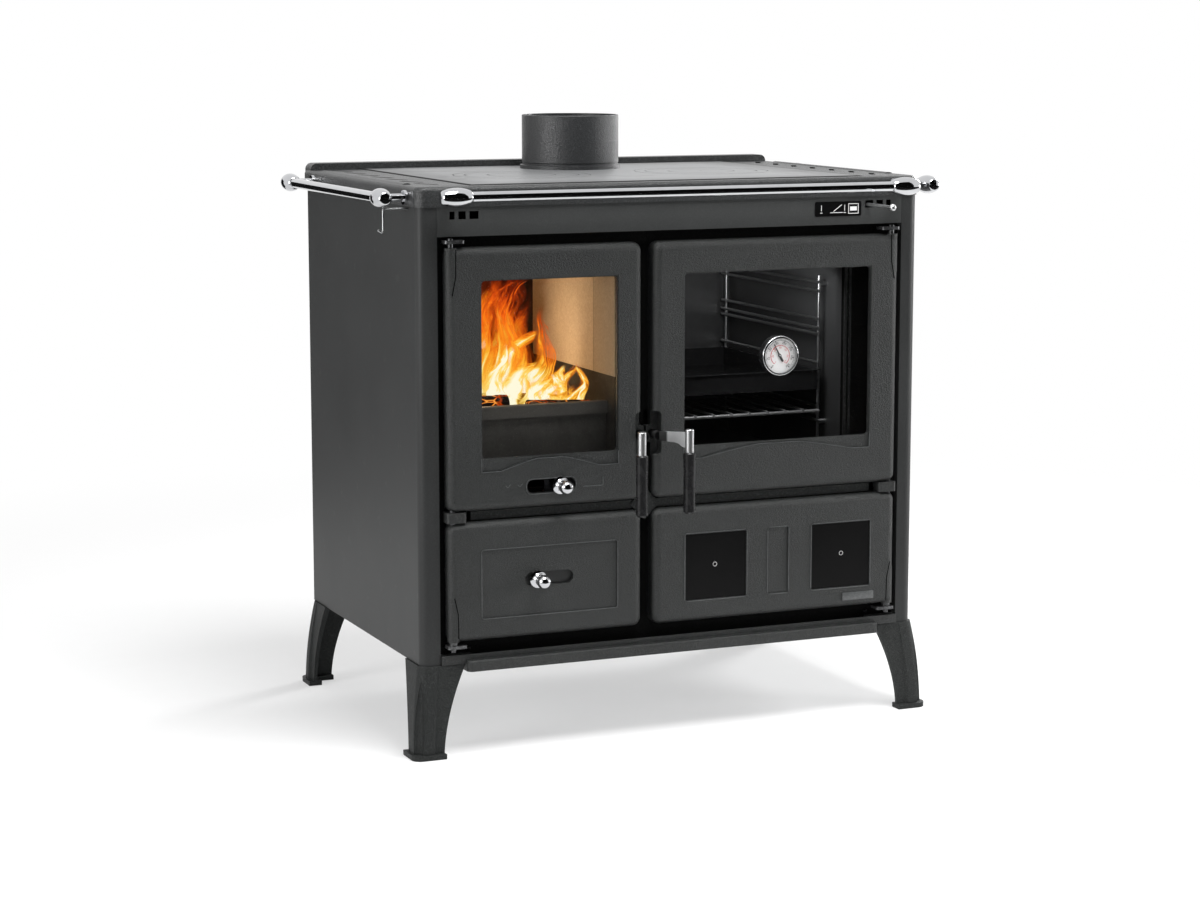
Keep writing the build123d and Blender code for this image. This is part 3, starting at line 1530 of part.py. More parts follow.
needle_angle = 29.0
needle_thickness = 0.8
needle_hub = 2.6
needle_blade = (2.4, 24.0, 88.6)
needle_blade_middle = 8.0
needle_tail = (3.4, 10.0)
needle_tail_middle = 6.0
with BuildPart() as thermometer_needle:
    with BuildSketch(facing(needle_back)):
        with Locations(Location((thermometer_x, thermometer_z), needle_angle)):
            Circle(needle_hub)
            with Locations((0, needle_blade_middle)):
                Trapezoid(*needle_blade)
            with Locations((0, -needle_tail_middle)):
                Rectangle(*needle_tail)
            Circle(needle_bore, mode=Mode.SUBTRACT)
    extrude(amount=needle_thickness)
finish(thermometer_needle, "thermometer_needle")

with BuildPart() as thermometer_lens:
    lens_front = case_front + lens_front_gap
    disc(lens_front, lens_front + lens_thickness, case_radius - case_lip - dial_clearance)
finish(thermometer_lens, "thermometer_lens")
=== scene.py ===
"""Looks of a wood-burning kitchen range.

Every casting, sheet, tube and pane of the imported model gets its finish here, and the fire, the dial's
print, the fixings and the small marks on the castings are added. Shapes are worked in millimetres as
X, depth behind the range's front plane, and height over the floor, and are stored in metres.
"""

import logging
import math
import random
from dataclasses import dataclass
from enum import Enum
from typing import Any, Iterable, Mapping, Sequence

import bmesh
import bpy
from mathutils import Matrix, Vector, noise


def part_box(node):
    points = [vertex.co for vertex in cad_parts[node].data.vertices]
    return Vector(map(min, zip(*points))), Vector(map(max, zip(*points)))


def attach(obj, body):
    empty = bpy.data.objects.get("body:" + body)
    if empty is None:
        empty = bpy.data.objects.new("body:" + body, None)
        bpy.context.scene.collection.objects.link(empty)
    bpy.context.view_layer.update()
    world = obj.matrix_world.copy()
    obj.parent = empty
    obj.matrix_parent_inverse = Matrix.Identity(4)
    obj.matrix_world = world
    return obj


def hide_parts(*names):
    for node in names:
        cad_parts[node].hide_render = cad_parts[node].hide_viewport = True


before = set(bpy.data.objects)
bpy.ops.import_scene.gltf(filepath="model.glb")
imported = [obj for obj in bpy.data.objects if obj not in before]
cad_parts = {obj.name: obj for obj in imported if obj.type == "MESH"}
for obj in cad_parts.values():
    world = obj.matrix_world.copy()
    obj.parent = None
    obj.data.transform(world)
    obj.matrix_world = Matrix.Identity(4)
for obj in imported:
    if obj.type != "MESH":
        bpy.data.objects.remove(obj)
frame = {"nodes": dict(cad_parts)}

LOG = logging.getLogger("kitchen_range")
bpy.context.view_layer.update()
FRONT_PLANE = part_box("side_panel_left")[0].y
MILLIMETRE = 0.001

Colour = tuple[float, float, float]
Range = tuple[float, float]
Point = tuple[float, float, float]
Stop = tuple[float, Colour]
Socket = bpy.types.NodeSocket


# ----- Shader graphs -----


@dataclass(frozen=True)
class Value:
    """A number on a node's socket that can be written in plain arithmetic."""

    graph: "Graph"
    socket: Socket

    def _math(self, operation: str, first: Any, second: Any) -> "Value":
        """Return the result of one Math node."""
        made = self.graph.node("ShaderNodeMath", {"operation": operation}, {0: first, 1: second})
        return Value(self.graph, made.outputs[0])

    def __add__(self, other: "Value | float") -> "Value":
        """Add a number."""
        return self._math("ADD", self, other)

    def __radd__(self, other: float) -> "Value":
        """Add this to a number."""
        return self._math("ADD", other, self)

    def __sub__(self, other: "Value | float") -> "Value":
        """Take a number away."""
        return self._math("SUBTRACT", self, other)

    def __rsub__(self, other: float) -> "Value":
        """Take this from a number."""
        return self._math("SUBTRACT", other, self)

    def __mul__(self, other: "Value | float") -> "Value":
        """Multiply by a number."""
        return self._math("MULTIPLY", self, other)

    def __rmul__(self, other: float) -> "Value":
        """Multiply a number by this."""
        return self._math("MULTIPLY", other, self)

    def __truediv__(self, other: "Value | float") -> "Value":
        """Divide by a number."""
        return self._math("DIVIDE", self, other)

    def __rtruediv__(self, other: float) -> "Value":
        """Divide a number by this."""
        return self._math("DIVIDE", other, self)

    def __pow__(self, other: "Value | float") -> "Value":
        """Raise to a power."""
        return self._math("POWER", self, other)

    def __abs__(self) -> "Value":
        """Drop the sign."""
        return self._math("ABSOLUTE", self, 0.0)

    def at_most(self, other: "Value | float") -> "Value":
        """Return the lesser of this and a number."""
        return self._math("MINIMUM", self, other)

    def at_least(self, other: "Value | float") -> "Value":
        """Return the greater of this and a number."""
        return self._math("MAXIMUM", self, other)

    def fraction(self) -> "Value":
        """Drop the whole part."""
        made = self.graph.node("ShaderNodeMath", {"operation": "FRACT"}, {0: self})
        return Value(self.graph, made.outputs[0])

    def between(self, low: float, high: float) -> "Value":
        """Return a soft step that goes from 0 at low to 1 at high.

        Args:
            low: The number where the step starts.
            high: The number where it ends, which may be the lower of the two.

        Returns:
            The step, held to 0 and 1 outside the two numbers.
        """
        if low > high:
            return 1.0 - self.between(high, low)
        made = self.graph.node(
            "ShaderNodeMapRange",
            {"interpolation_type": "SMOOTHSTEP"},
            {"Value": self, "From Min": low, "From Max": high},
        )
        return Value(self.graph, made.outputs["Result"])


class Graph:
    """The nodes of one finish."""

    def __init__(self, name: str) -> None:
        """Start a material with an empty tree."""
        self.material = bpy.data.materials.new(name)
        self.material.use_nodes = True
        self.tree = self.material.node_tree
        self.tree.nodes.clear()

    def node(self, kind: str, settings: Mapping[str, Any], values: Mapping[Any, Any]) -> bpy.types.Node:
        """Add one node.

        Args:
            kind: The node's type.
            settings: Its own settings, set first; "stops" fills a ramp with (place, colour) pairs.
            values: What each input gets, by name or number: a number, a colour, a Value or a socket.

        Returns:
            The new node.
        """
        made = self.tree.nodes.new(kind)
        for name, setting in settings.items():
            if name == "stops":
                self._fill_ramp(made.color_ramp, setting)
            else:
                setattr(made, name, setting)
        for name, value in values.items():
            self._feed(made.inputs[name], value)
        return made

    def _fill_ramp(self, ramp: bpy.types.ColorRamp, stops: Sequence[Stop]) -> None:
        """Set a ramp's stops.

        Args:
            ramp: The ramp.
            stops: Its places and their colours.
        """
        while len(ramp.elements) < len(stops):
            ramp.elements.new(1.0)
        for element, (place, colour) in zip(ramp.elements, stops):
            element.position = place
            element.color = (*colour, 1.0)

    def _feed(self, socket: Socket, value: Any) -> None:
        """Link a socket to a value's source, or set it to a plain number or colour.

        Args:
            socket: The input.
            value: What it gets.
        """
        if isinstance(value, Value):
            self.tree.links.new(value.socket, socket)
        elif isinstance(value, Socket):
            self.tree.links.new(value, socket)
        elif socket.type == "RGBA" and len(value) == 3:
            socket.default_value = (*value, 1.0)
        else:
            socket.default_value = value

    def place(self) -> Socket:
        """Return the point on the piece, in metres in the range's frame."""
        return self.node("ShaderNodeTexCoord", {}, {}).outputs["Object"]

    def unwrapped(self) -> Socket:
        """Return the point on the piece's own UV map."""
        return self.node("ShaderNodeTexCoord", {}, {}).outputs["UV"]

    def axes(self, vector: Socket) -> tuple[Value, Value, Value]:
        """Return a vector's three parts."""
        made = self.node("ShaderNodeSeparateXYZ", {}, {"Vector": vector})
        return tuple(Value(self, output) for output in made.outputs)

    def vector(self, x: Any, y: Any, z: Any) -> Socket:
        """Return a vector of three numbers."""
        return self.node("ShaderNodeCombineXYZ", {}, {"X": x, "Y": y, "Z": z}).outputs["Vector"]

    def mapped(self, vector: Socket, scale: Point, turn: Point = (0.0, 0.0, 0.0)) -> Socket:
        """Return a vector stretched and turned by a Mapping node.

        Args:
            vector: The vector to map.
            scale: The factor along each axis.
            turn: The turn about each axis, in radians.

        Returns:
            The mapped vector.
        """
        values = {"Vector": vector, "Scale": scale, "Rotation": turn}
        return self.node("ShaderNodeMapping", {}, values).outputs["Vector"]

    def noise(
        self, vector: Socket, scale: float, detail: float = 2.0, roughness: float = 0.5, warp: float = 0.0
    ) -> Value:
        """Return cloudy noise between 0 and 1.

        Args:
            vector: Where it is read.
            scale: Clouds per unit.
            detail: How many finer layers it has.
            roughness: How strong those layers are.
            warp: How far it is pulled about by itself.

        Returns:
            The noise.
        """
        values = {"Vector": vector, "Scale": scale, "Detail": detail, "Roughness": roughness}
        return Value(self, self.node("ShaderNodeTexNoise", {}, {**values, "Distortion": warp}).outputs[0])

    def cells(self, vector: Socket, scale: float, feature: str = "F1") -> bpy.types.Node:
        """Return a Voronoi node, whose outputs are the distance to a cell and the cell's own colour."""
        return self.node("ShaderNodeTexVoronoi", {"feature": feature}, {"Vector": vector, "Scale": scale})

    def blend(self, share: "Value | float", first: Any, second: Any) -> Socket:
        """Return a colour between two.

        Args:
            share: How much of the second colour there is, from 0 to 1.
            first: The colour at 0.
            second: The colour at 1.

        Returns:
            The mixed colour.
        """
        made = self.node("ShaderNodeMix", {"data_type": "RGBA"}, {0: share, 6: first, 7: second})
        return made.outputs[2]

    def tones(self, share: Value, colour: Colour, low: float, high: float) -> Socket:
        """Return a colour between a darker and a lighter tone of one colour.

        Args:
            share: How much of the second tone there is, from 0 to 1.
            colour: The colour.
            low: The factor of its tone at 0.
            high: The factor of its tone at 1.

        Returns:
            The mixed colour.
        """
        return self.blend(share, toned(colour, low), toned(colour, high))

    def ramp(self, value: Value, stops: Sequence[Stop]) -> Socket:
        """Return a colour looked up on a ramp of (place, colour) stops."""
        return self.node("ShaderNodeValToRGB", {"stops": stops}, {"Fac": value}).outputs["Color"]

    def bump(self, height: Value, depth: float, strength: float) -> Socket:
        """Return a surface normal that follows a height.

        Args:
            height: The height, from 0 to 1.
            depth: How far 1 stands over 0, in metres.
            strength: How much of it shows.

        Returns:
            The normal.
        """
        values = {"Height": height, "Distance": depth, "Strength": strength}
        return self.node("ShaderNodeBump", {}, values).outputs["Normal"]

    def upward(self) -> Value:
        """Return how far the surface faces up, from -1 to 1."""
        return self.axes(self.node("ShaderNodeNewGeometry", {}, {}).outputs["Normal"])[2]

    def grey(self, colour: Socket) -> Value:
        """Return a colour's brightness."""
        return Value(self, self.node("ShaderNodeRGBToBW", {}, {"Color": colour}).outputs[0])

    def waves(self, vector: Socket, scale: float) -> Value:
        """Return bands between 0 and 1."""
        made = self.node("ShaderNodeTexWave", {}, {"Vector": vector, "Scale": scale})
        return Value(self, made.outputs["Fac"])

    def principled(
        self, colour: Any, roughness: Any, normal: Any = None, sheen: float = 0.5, **more: Any
    ) -> Socket:
        """Return a Principled shader.

        Args:
            colour: Its base colour.
            roughness: Its roughness.
            normal: Its surface normal, where it isn't the piece's own.
            sheen: Its specular level.
            more: Its other inputs, each by its name in small letters.

        Returns:
            The shader.
        """
        values = {"Base Color": colour, "Roughness": roughness, "Specular IOR Level": sheen}
        values.update({name.replace("_", " ").title(): value for name, value in more.items()})
        if normal is not None:
            values["Normal"] = normal
        return self.node("ShaderNodeBsdfPrincipled", {}, values).outputs["BSDF"]

    def surface(self, shader: Socket) -> None:
        """Make a shader the surface of the material."""
        self.node("ShaderNodeOutputMaterial", {}, {"Surface": shader})

    def coat(self, colour: Any, **values: Any) -> None:
        """Make a Principled shader the surface of the material."""
        self.surface(self.principled(colour, **values))

    def coats(self, share: Value, first: Socket, second: Socket) -> None:
        """Make a mix of two shaders the surface of the material.

        Args:
            share: How much of the second shader there is, from 0 to 1.
            first: The shader at 0.
            second: The shader at 1.
        """
        self.surface(self.node("ShaderNodeMixShader", {}, {0: share, 1: first, 2: second}).outputs["Shader"])


def toned(colour: Colour, factor: float) -> Colour:
    """Return a colour made darker or lighter by a factor."""
    return tuple(min(part * factor, 1.0) for part in colour)


# ----- Finishes -----

CRACK_HEAT = ((0.0, (0.0, 0.0, 0.0)), (0.45, (0.55, 0.06, 0.0)), (1.0, (1.0, 0.42, 0.06)))
COAL_HEAT = (
    (0.0, (0.02, 0.0, 0.0)),
    (0.35, (0.65, 0.08, 0.005)),
    (0.7, (1.0, 0.36, 0.04)),
    (1.0, (1.0, 0.78, 0.34)),
)
FLAME_HEAT = (
    (0.0, (0.30, 0.024, 0.004)),
    (0.16, (0.68, 0.072, 0.006)),
    (0.32, (0.98, 0.150, 0.008)),
    (0.50, (1.0, 0.285, 0.014)),
    (0.68, (1.0, 0.47, 0.035)),
    (0.84, (1.0, 0.74, 0.18)),
    (0.97, (1.0, 0.97, 0.76)),
)


@dataclass(frozen=True)
class Finish:
    """A finish that any number of pieces can wear."""

    name: str

    def shade(self, graph: Graph) -> None:
        """Build the finish's nodes."""
        raise NotImplementedError

    def material(self) -> bpy.types.Material:
        """Make the finish's material on first use.

        Returns:
            The material.
        """
        found = bpy.data.materials.get(self.name)
        if found is not None:
            return found
        graph = Graph(self.name)
        self.shade(graph)
        return graph.material

    def dress(self, piece: bpy.types.Object) -> None:
        """Put the finish on every slot of a piece.

        Args:
            piece: The piece, which gets a slot if it has none.
        """
        if not piece.material_slots:
            piece.data.materials.append(self.material())
        for slot in piece.material_slots:
            slot.material = self.material()


@dataclass(frozen=True)
class StovePaint(Finish):
    """Heat-resisting paint over sheet or sand-cast iron."""

    colour: Colour
    grain: float = 360.0
    relief: float = 0.0008
    gloss: float = 0.5
    grain_and_glint: float = 0.6
    wear: float = 0.18
    sheen: float = 0.5

    def painted_slot_shade(self, graph: Graph) -> "Value | float":
        """Return the painted shade in the dark of a slot, which is nowhere on most castings."""
        return 0.0

    def shade(self, graph: Graph) -> None:
        """Grain from the casting's sand with painted glints on its high points, rubbed paint, and slow
        changes of tone.

        Args:
            graph: The finish's nodes.
        """
        place = graph.place()
        sand = graph.noise(place, self.grain, 3.0, 0.6)
        lumps = graph.noise(place, self.grain * 0.42, 2.0, 0.5)
        broad = graph.noise(place, 6.0, 3.0, 0.55)
        # points lighten the sand's high spots: partly the grain's own tone, partly painted glints
        points = sand.between(0.44, 0.66)
        rubbed = graph.noise(place, 31.0, 7.0, 0.68).between(0.58, 0.76)
        specks = self.grain_and_glint * (points * 0.95 + (lumps - 0.5) * 0.6)
        # painted shade in the slots is taken off the tone here
        tone = 0.12 - self.painted_slot_shade(graph) + specks + 0.30 * (broad - 0.5)
        painted = graph.tones(tone.between(-0.2, 1.2), self.colour, 0.45, 1.75)
        worn = graph.blend(rubbed * self.wear, painted, toned(self.colour, 2.3))
        graph.coat(
            worn,
            roughness=(self.gloss + 0.12 * (broad - 0.5) - 0.1 * rubbed).between(-0.3, 1.3),
            sheen=self.sheen,
            normal=graph.bump(sand * 0.6 + lumps * 0.5, self.relief, 0.9),
        )


@dataclass(frozen=True)
class TopIron(StovePaint):
    """The top's paint, with painted shade on the walls inside the warm-air slots and along the joint with the
    hob.
    """

    inner: float = 0.394
    face: float = 0.8593
    front: Range = (0.014, 0.016)

    def painted_slot_shade(self, graph: Graph) -> "Value | float":
        """Find the walls that stand below the top's face, which get painted shade.

        Args:
            graph: The finish's nodes.

        Returns:
            1 on those walls and 0 elsewhere.
        """
        x, y, z = graph.axes(graph.place())
        below = z.between(self.face + 0.0004, self.face - 0.0008)
        inside = abs(x).between(self.inner + 0.001, self.inner)
        return below * inside * y.between(FRONT_PLANE + self.front[0], FRONT_PLANE + self.front[1])


@dataclass(frozen=True)
class HingeIron(Finish):
    """Bare turned steel for the end lugs and their pins, and cast paint for the lugs in the middle."""

    steel: Colour
    cast: Colour
    middle: Range

    def shade(self, graph: Graph) -> None:
        """Go over from steel to painted iron inside the middle lugs' range of height.

        Args:
            graph: The finish's nodes.
        """
        place = graph.place()
        _, _, z = graph.axes(place)
        low, high = self.middle
        painted = z.between(low - 0.0012, low) * z.between(high + 0.0012, high)
        sand = graph.noise(place, 360.0, 3.0, 0.6)
        scuff = graph.noise(place, 120.0, 5.0, 0.65).between(0.42, 0.70)
        steel = graph.tones(scuff, self.steel, 0.55, 1.25)
        cast = graph.tones(sand.between(0.42, 0.72), self.cast, 0.6, 1.7)
        graph.coat(
            graph.blend(painted, steel, cast),
            metallic=0.8 * (1.0 - painted),
            roughness=0.34 + 0.18 * painted + 0.12 * scuff,
            normal=graph.bump(sand, 0.0004, 0.6),
        )


@dataclass(frozen=True)
class FrameIron(Finish):
    """The front frame: near-black painted shade where the doors close on it, door paint on the ribs between
    them.
    """

    black: Colour
    cast: Colour
    rib: float

    def shade(self, graph: Graph) -> None:
        """Go over from the painted shade to the doors' paint in front of the frame's own face.

        Args:
            graph: The finish's nodes.
        """
        place = graph.place()
        _, y, _ = graph.axes(place)
        painted = y.between(self.rib + 0.0006, self.rib)
        sand = graph.noise(place, 380.0, 3.0, 0.6)
        points = sand.between(0.44, 0.74)
        # the black tone is painted shade for the gaps between the doors
        black = graph.tones(points, self.black, 0.6, 1.6)
        cast = graph.tones(points, self.cast, 0.6, 1.7)
        graph.coat(
            graph.blend(painted, black, cast),
            roughness=0.80 - 0.30 * painted - 0.06 * points,
            sheen=0.06,
            normal=graph.bump(sand, 0.0007, 0.8),
        )


@dataclass(frozen=True)
class GroundIron(Finish):
    """Cast iron ground bright, with heat stains, darker margins and a painted shadow line along its rim."""

    colour: Colour
    half_width: float
    front: float

    def shade(self, graph: Graph) -> None:
        """Fine grinding lines along X, soft stains, and darker front and side margins.

        Args:
            graph: The finish's nodes.
        """
        place = graph.place()
        x, y, _ = graph.axes(place)
        lines = graph.noise(graph.mapped(place, (40.0, 1900.0, 900.0)), 1.0, 4.0, 0.6)
        coarse = graph.noise(graph.mapped(place, (9.0, 260.0, 90.0)), 1.0, 3.0, 0.55)
        stain = graph.noise(place, 7.5, 4.0, 0.6, 0.6).between(0.50, 0.72)
        sides = abs(x).between(self.half_width - 0.085, self.half_width - 0.015)
        margin = (1.0 - y.between(self.front, self.front + 0.085)).at_least(sides)
        metal = graph.tones(lines * 0.55 + coarse * 0.45, self.colour, 0.78, 1.2)
        stained = graph.blend(stain * 0.22, metal, (0.150, 0.138, 0.126))
        # the rim is a near-black painted shadow line along the plate's side and front edges
        rim = abs(x).between(self.half_width - 0.005, self.half_width - 0.003)
        rim = rim.at_least(y.between(self.front + 0.011, self.front + 0.007))
        shaded = graph.blend(margin * 0.62, stained, toned(self.colour, 0.30))
        shaded = graph.blend(rim * 0.9, shaded, (0.004, 0.004, 0.004))
        graph.coat(
            shaded,
            metallic=0.35,
            roughness=0.42 + 0.16 * (coarse - 0.5) + 0.1 * stain + 0.4 * rim,
            normal=graph.bump(lines * 0.6 + coarse * 0.4, 0.00012, 0.5),
        )


@dataclass(frozen=True)
class Plating(Finish):
    """Bright metal: chrome plate, drawn wire, blacked slides."""

    colour: Colour = (0.62, 0.63, 0.645)
    gloss: float = 0.06
    smudge: float = 0.07
    grain: float = 90.0

    def shade(self, graph: Graph) -> None:
        """A mirror with faint smudges and a trace of polishing waves.

        Args:
            graph: The finish's nodes.
        """
        place = graph.place()
        smear = graph.noise(place, 24.0, 6.0, 0.65, 0.4).between(0.46, 0.74)
        fine = graph.noise(place, self.grain, 5.0, 0.6)
        metal = graph.tones(smear * 0.35 + fine * 0.2, self.colour, 1.08, 0.82)
        graph.coat(
            metal,
            metallic=1.0,
            roughness=self.gloss + self.smudge * smear + 0.03 * fine,
            normal=graph.bump(fine, 0.00004, 0.35),
        )


@dataclass(frozen=True)
class HandleMetal(Finish):
    """Satin chrome on a handle's arm and sleeve, and a blacked hub about its shaft."""

    colour: Colour
    middle: float
    hub: Range
    gloss: float = 0.16

    def shade(self, graph: Graph) -> None:
        """Cast waves under satin plating, with the hub blacked by its distance from the doors' gap.

        Args:
            graph: The finish's nodes.
        """
        place = graph.place()
        x, _, _ = graph.axes(place)
        hub = abs(x - self.middle).between(self.hub[1], self.hub[0])
        waves = graph.noise(place, 70.0, 4.0, 0.6)
        smear = graph.noise(place, 24.0, 6.0, 0.65, 0.4).between(0.46, 0.74)
        metal = graph.tones(waves * 0.5 + smear * 0.3, self.colour, 0.86, 1.1)
        graph.coat(
            graph.blend(hub, metal, (0.012, 0.012, 0.012)),
            metallic=1.0 - 0.9 * hub,
            roughness=self.gloss + 0.08 * smear + 0.25 * hub,
            normal=graph.bump(waves, 0.00025, 0.5),
        )


@dataclass(frozen=True)
class SootedIron(Finish):
    """Bare iron that has stood in the fire."""

    colour: Colour
    soot: float = 0.6
    ash: float = 0.12
    painted_light_above: float = 2.0

    def shade(self, graph: Graph) -> None:
        """Casting grain under soot clouds, pale ash on the level faces, and a lighter, smoother face above a
        height as painted light on the guard's band.

        Args:
            graph: The finish's nodes.
        """
        place = graph.place()
        _, _, height = graph.axes(place)
        # painted light: the face above this height is lighter and smoother than the shaded face below
        rubbed = height.between(self.painted_light_above - 0.0012, self.painted_light_above + 0.0012)
        up = graph.upward()
        sand = graph.noise(place, 330.0, 4.0, 0.65)
        cloud = graph.noise(place, 13.0, 6.0, 0.62, 0.5).between(0.36, 0.66)
        fly = graph.noise(place, 55.0, 6.0, 0.7).between(0.42, 0.64) * up.between(0.4, 0.95)
        iron = graph.tones(sand, self.colour, 0.62, 1.4)
        dark = graph.blend(cloud * self.soot, iron, (0.008, 0.0075, 0.007))
        graph.coat(
            graph.blend(fly * self.ash + rubbed * 0.05, dark, (0.36, 0.34, 0.31)),
            roughness=0.62 + 0.25 * cloud - 0.14 * rubbed,
            sheen=0.35,
            normal=graph.bump(sand, 0.0004, 0.7),
        )


@dataclass(frozen=True)
class PressedBoard(Finish):
    """Pressed vermiculite: pale flakes in a warm binder, smoked towards the top."""

    colour: Colour
    low: float
    high: float
    joint: float

    def shade(self, graph: Graph) -> None:
        """Flakes of several tones, fine pores, smoke high up, and a duller slab in front of the joint.

        Args:
            graph: The finish's nodes.
        """
        place = graph.place()
        _, y, z = graph.axes(place)
        seam = abs(y - self.joint).between(0.0016, 0.0004)
        front = y.between(self.joint + 0.0005, self.joint - 0.0005)
        flake = graph.cells(place, 340.0)
        facet = Value(graph, flake.outputs["Distance"])
        tint = graph.grey(flake.outputs["Color"])
        pores = graph.noise(place, 520.0, 3.0, 0.6)
        smoke = graph.noise(graph.mapped(place, (9.0, 9.0, 4.0)), 1.0, 5.0, 0.6, 0.5)
        smoked = smoke.between(0.34, 0.78)
        height = ((z - self.low) / (self.high - self.low)).between(0.75, 1.25)
        dark = (smoked * 0.16 + height * 0.22 + front * 0.30 + seam * 0.5).at_most(1.0)
        board = graph.tones(tint, self.colour, 0.88, 1.1)
        graph.coat(
            graph.blend(dark, board, toned(self.colour, 0.30)),
            roughness=0.82 + 0.1 * pores,
            sheen=0.2,
            normal=graph.bump(pores * 0.6 + facet * 0.4, 0.0005, 0.6),
        )


@dataclass(frozen=True)
class Enamel(Finish):
    """Black vitreous enamel with tiny pale specks."""

    colour: Colour
    gloss: float = 0.22
    sheen: float = 0.5

    def shade(self, graph: Graph) -> None:
        """Deep gloss with orange peel, and specks fired into the glass.

        Args:
            graph: The finish's nodes.
        """
        place = graph.place()
        specks = Value(graph, graph.cells(place, 420.0).outputs["Distance"]).between(0.14, 0.05)
        chosen = graph.noise(place, 160.0, 1.0).between(0.60, 0.68)
        peel = graph.noise(place, 110.0, 2.0)
        greasy = graph.noise(place, 14.0, 5.0, 0.6).between(0.5, 0.8)
        body = graph.tones(peel, self.colour, 0.8, 1.25)
        graph.coat(
            graph.blend(specks * chosen * 0.22, body, (0.20, 0.21, 0.22)),
            roughness=self.gloss + 0.08 * greasy,
            sheen=self.sheen,
            normal=graph.bump(peel, 0.00012, 0.25),
        )


@dataclass(frozen=True)
class Galvanised(Finish):
    """Zinc-coated sheet with its spangle."""

    colour: Colour

    def shade(self, graph: Graph) -> None:
        """Crystals a centimetre or so across, each with its own tone and dullness.

        Args:
            graph: The finish's nodes.
        """
        place = graph.place()
        tint = graph.grey(graph.cells(place, 95.0).outputs["Color"])
        dust = graph.noise(place, 9.0, 5.0, 0.6)
        graph.coat(
            graph.tones(tint * 0.7 + dust * 0.3, self.colour, 0.72, 1.2),
            metallic=0.85,
            roughness=0.34 + 0.16 * tint + 0.1 * dust,
            normal=graph.bump(tint, 0.00005, 0.3),
        )


@dataclass(frozen=True)
class Moulding(Finish):
    """Black heat-resisting moulding, polished by hands."""

    colour: Colour = (0.0100, 0.0100, 0.0104)
    gloss: float = 0.26

    def shade(self, graph: Graph) -> None:
        """A gloss surface with hazy finger marks and hairline scratches along its length.

        Args:
            graph: The finish's nodes.
        """
        place = graph.place()
        haze = graph.noise(place, 46.0, 5.0, 0.65, 0.5).between(0.44, 0.75)
        hairs = graph.noise(graph.mapped(place, (900.0, 900.0, 22.0)), 1.0, 2.0).between(0.62, 0.70)
        graph.coat(
            graph.blend(haze * 0.5 + hairs * 0.3, self.colour, toned(self.colour, 2.6)),
            roughness=self.gloss + 0.12 * haze + 0.08 * hairs,
            sheen=0.28,
            normal=graph.bump(haze, 0.00008, 0.3),
        )


@dataclass(frozen=True)
class ClearPane(Finish):
    """Ceramic glass: clear straight through, glossy at a slant, with a film of smoke in its corners."""

    tint: Colour
    haze: float = 0.05
    middle: Range = (0.0, 0.0)
    reach: Range = (0.11, 0.13)

    def shade(self, graph: Graph) -> None:
        """Let lamps and views through, reflect by the slant, and darken softly towards the edges.

        Args:
            graph: The finish's nodes.
        """
        place = graph.place()
        x, _, z = graph.axes(place)
        across = abs(x - self.middle[0]) / self.reach[0]
        along = abs(z - self.middle[1]) / self.reach[1]
        cloud = graph.noise(place, 12.0, 5.0, 0.6, 0.4)
        film = (across.at_least(along) + (cloud - 0.5) * 0.35).between(0.72, 1.15)
        clear = graph.node("ShaderNodeBsdfTransparent", {}, {"Color": self.tint}).outputs["BSDF"]
        gloss = graph.principled(
            graph.blend(cloud, (0.012, 0.012, 0.012), (0.03, 0.028, 0.026)),
            roughness=0.03 + 0.1 * film,
            normal=graph.bump(graph.noise(place, 5.0, 1.0), 0.0006, 0.08),
        )
        slant = Value(graph, graph.node("ShaderNodeFresnel", {}, {"IOR": 1.45}).outputs["Fac"])
        share = (slant * 0.45 + film * self.haze).at_most(1.0)
        graph.coats(share, clear, gloss)


@dataclass(frozen=True)
class BraidedRope(Finish):
    """Glass-fibre rope, braided and grey with use."""

    colour: Colour

    def shade(self, graph: Graph) -> None:
        """Crossing strands a few millimetres wide over loose fibres.

        Args:
            graph: The finish's nodes.
        """
        place = graph.place()
        first, second = (
            graph.waves(graph.mapped(place, (330.0, 330.0, 330.0), (0.0, lean, 0.0)), 0.42)
            for lean in (0.785, -0.785)
        )
        fibre = graph.noise(place, 900.0, 3.0, 0.6)
        strand = first.at_least(second)
        tone = strand * 0.7 + fibre * 0.3
        graph.coat(
            graph.tones(tone, self.colour, 0.5, 1.5),
            roughness=0.86 + 0.08 * fibre,
            sheen=0.2,
            normal=graph.bump(strand * 0.8 + fibre * 0.2, 0.0007, 0.8),
        )


@dataclass(frozen=True)
class Ink(Finish):
    """Enamel print, or a small enamelled face."""

    colour: Colour
    gloss: float = 0.4
    mottle: float = 0.12

    def shade(self, graph: Graph) -> None:
        """A nearly even coat with a faint mottle and a soft gloss.

        Args:
            graph: The finish's nodes.
        """
        place = graph.place()
        cloud = graph.noise(place, 260.0, 4.0, 0.6)
        slow = graph.noise(place, 60.0, 2.0)
        tone = 0.5 + self.mottle * (cloud - 0.5) * 4.0 + self.mottle * (slow - 0.5) * 3.0
        graph.coat(
            graph.tones(tone, self.colour, 0.86, 1.08),
            roughness=self.gloss + 0.12 * (cloud - 0.5),
            normal=graph.bump(cloud, 0.00003, 0.25),
        )


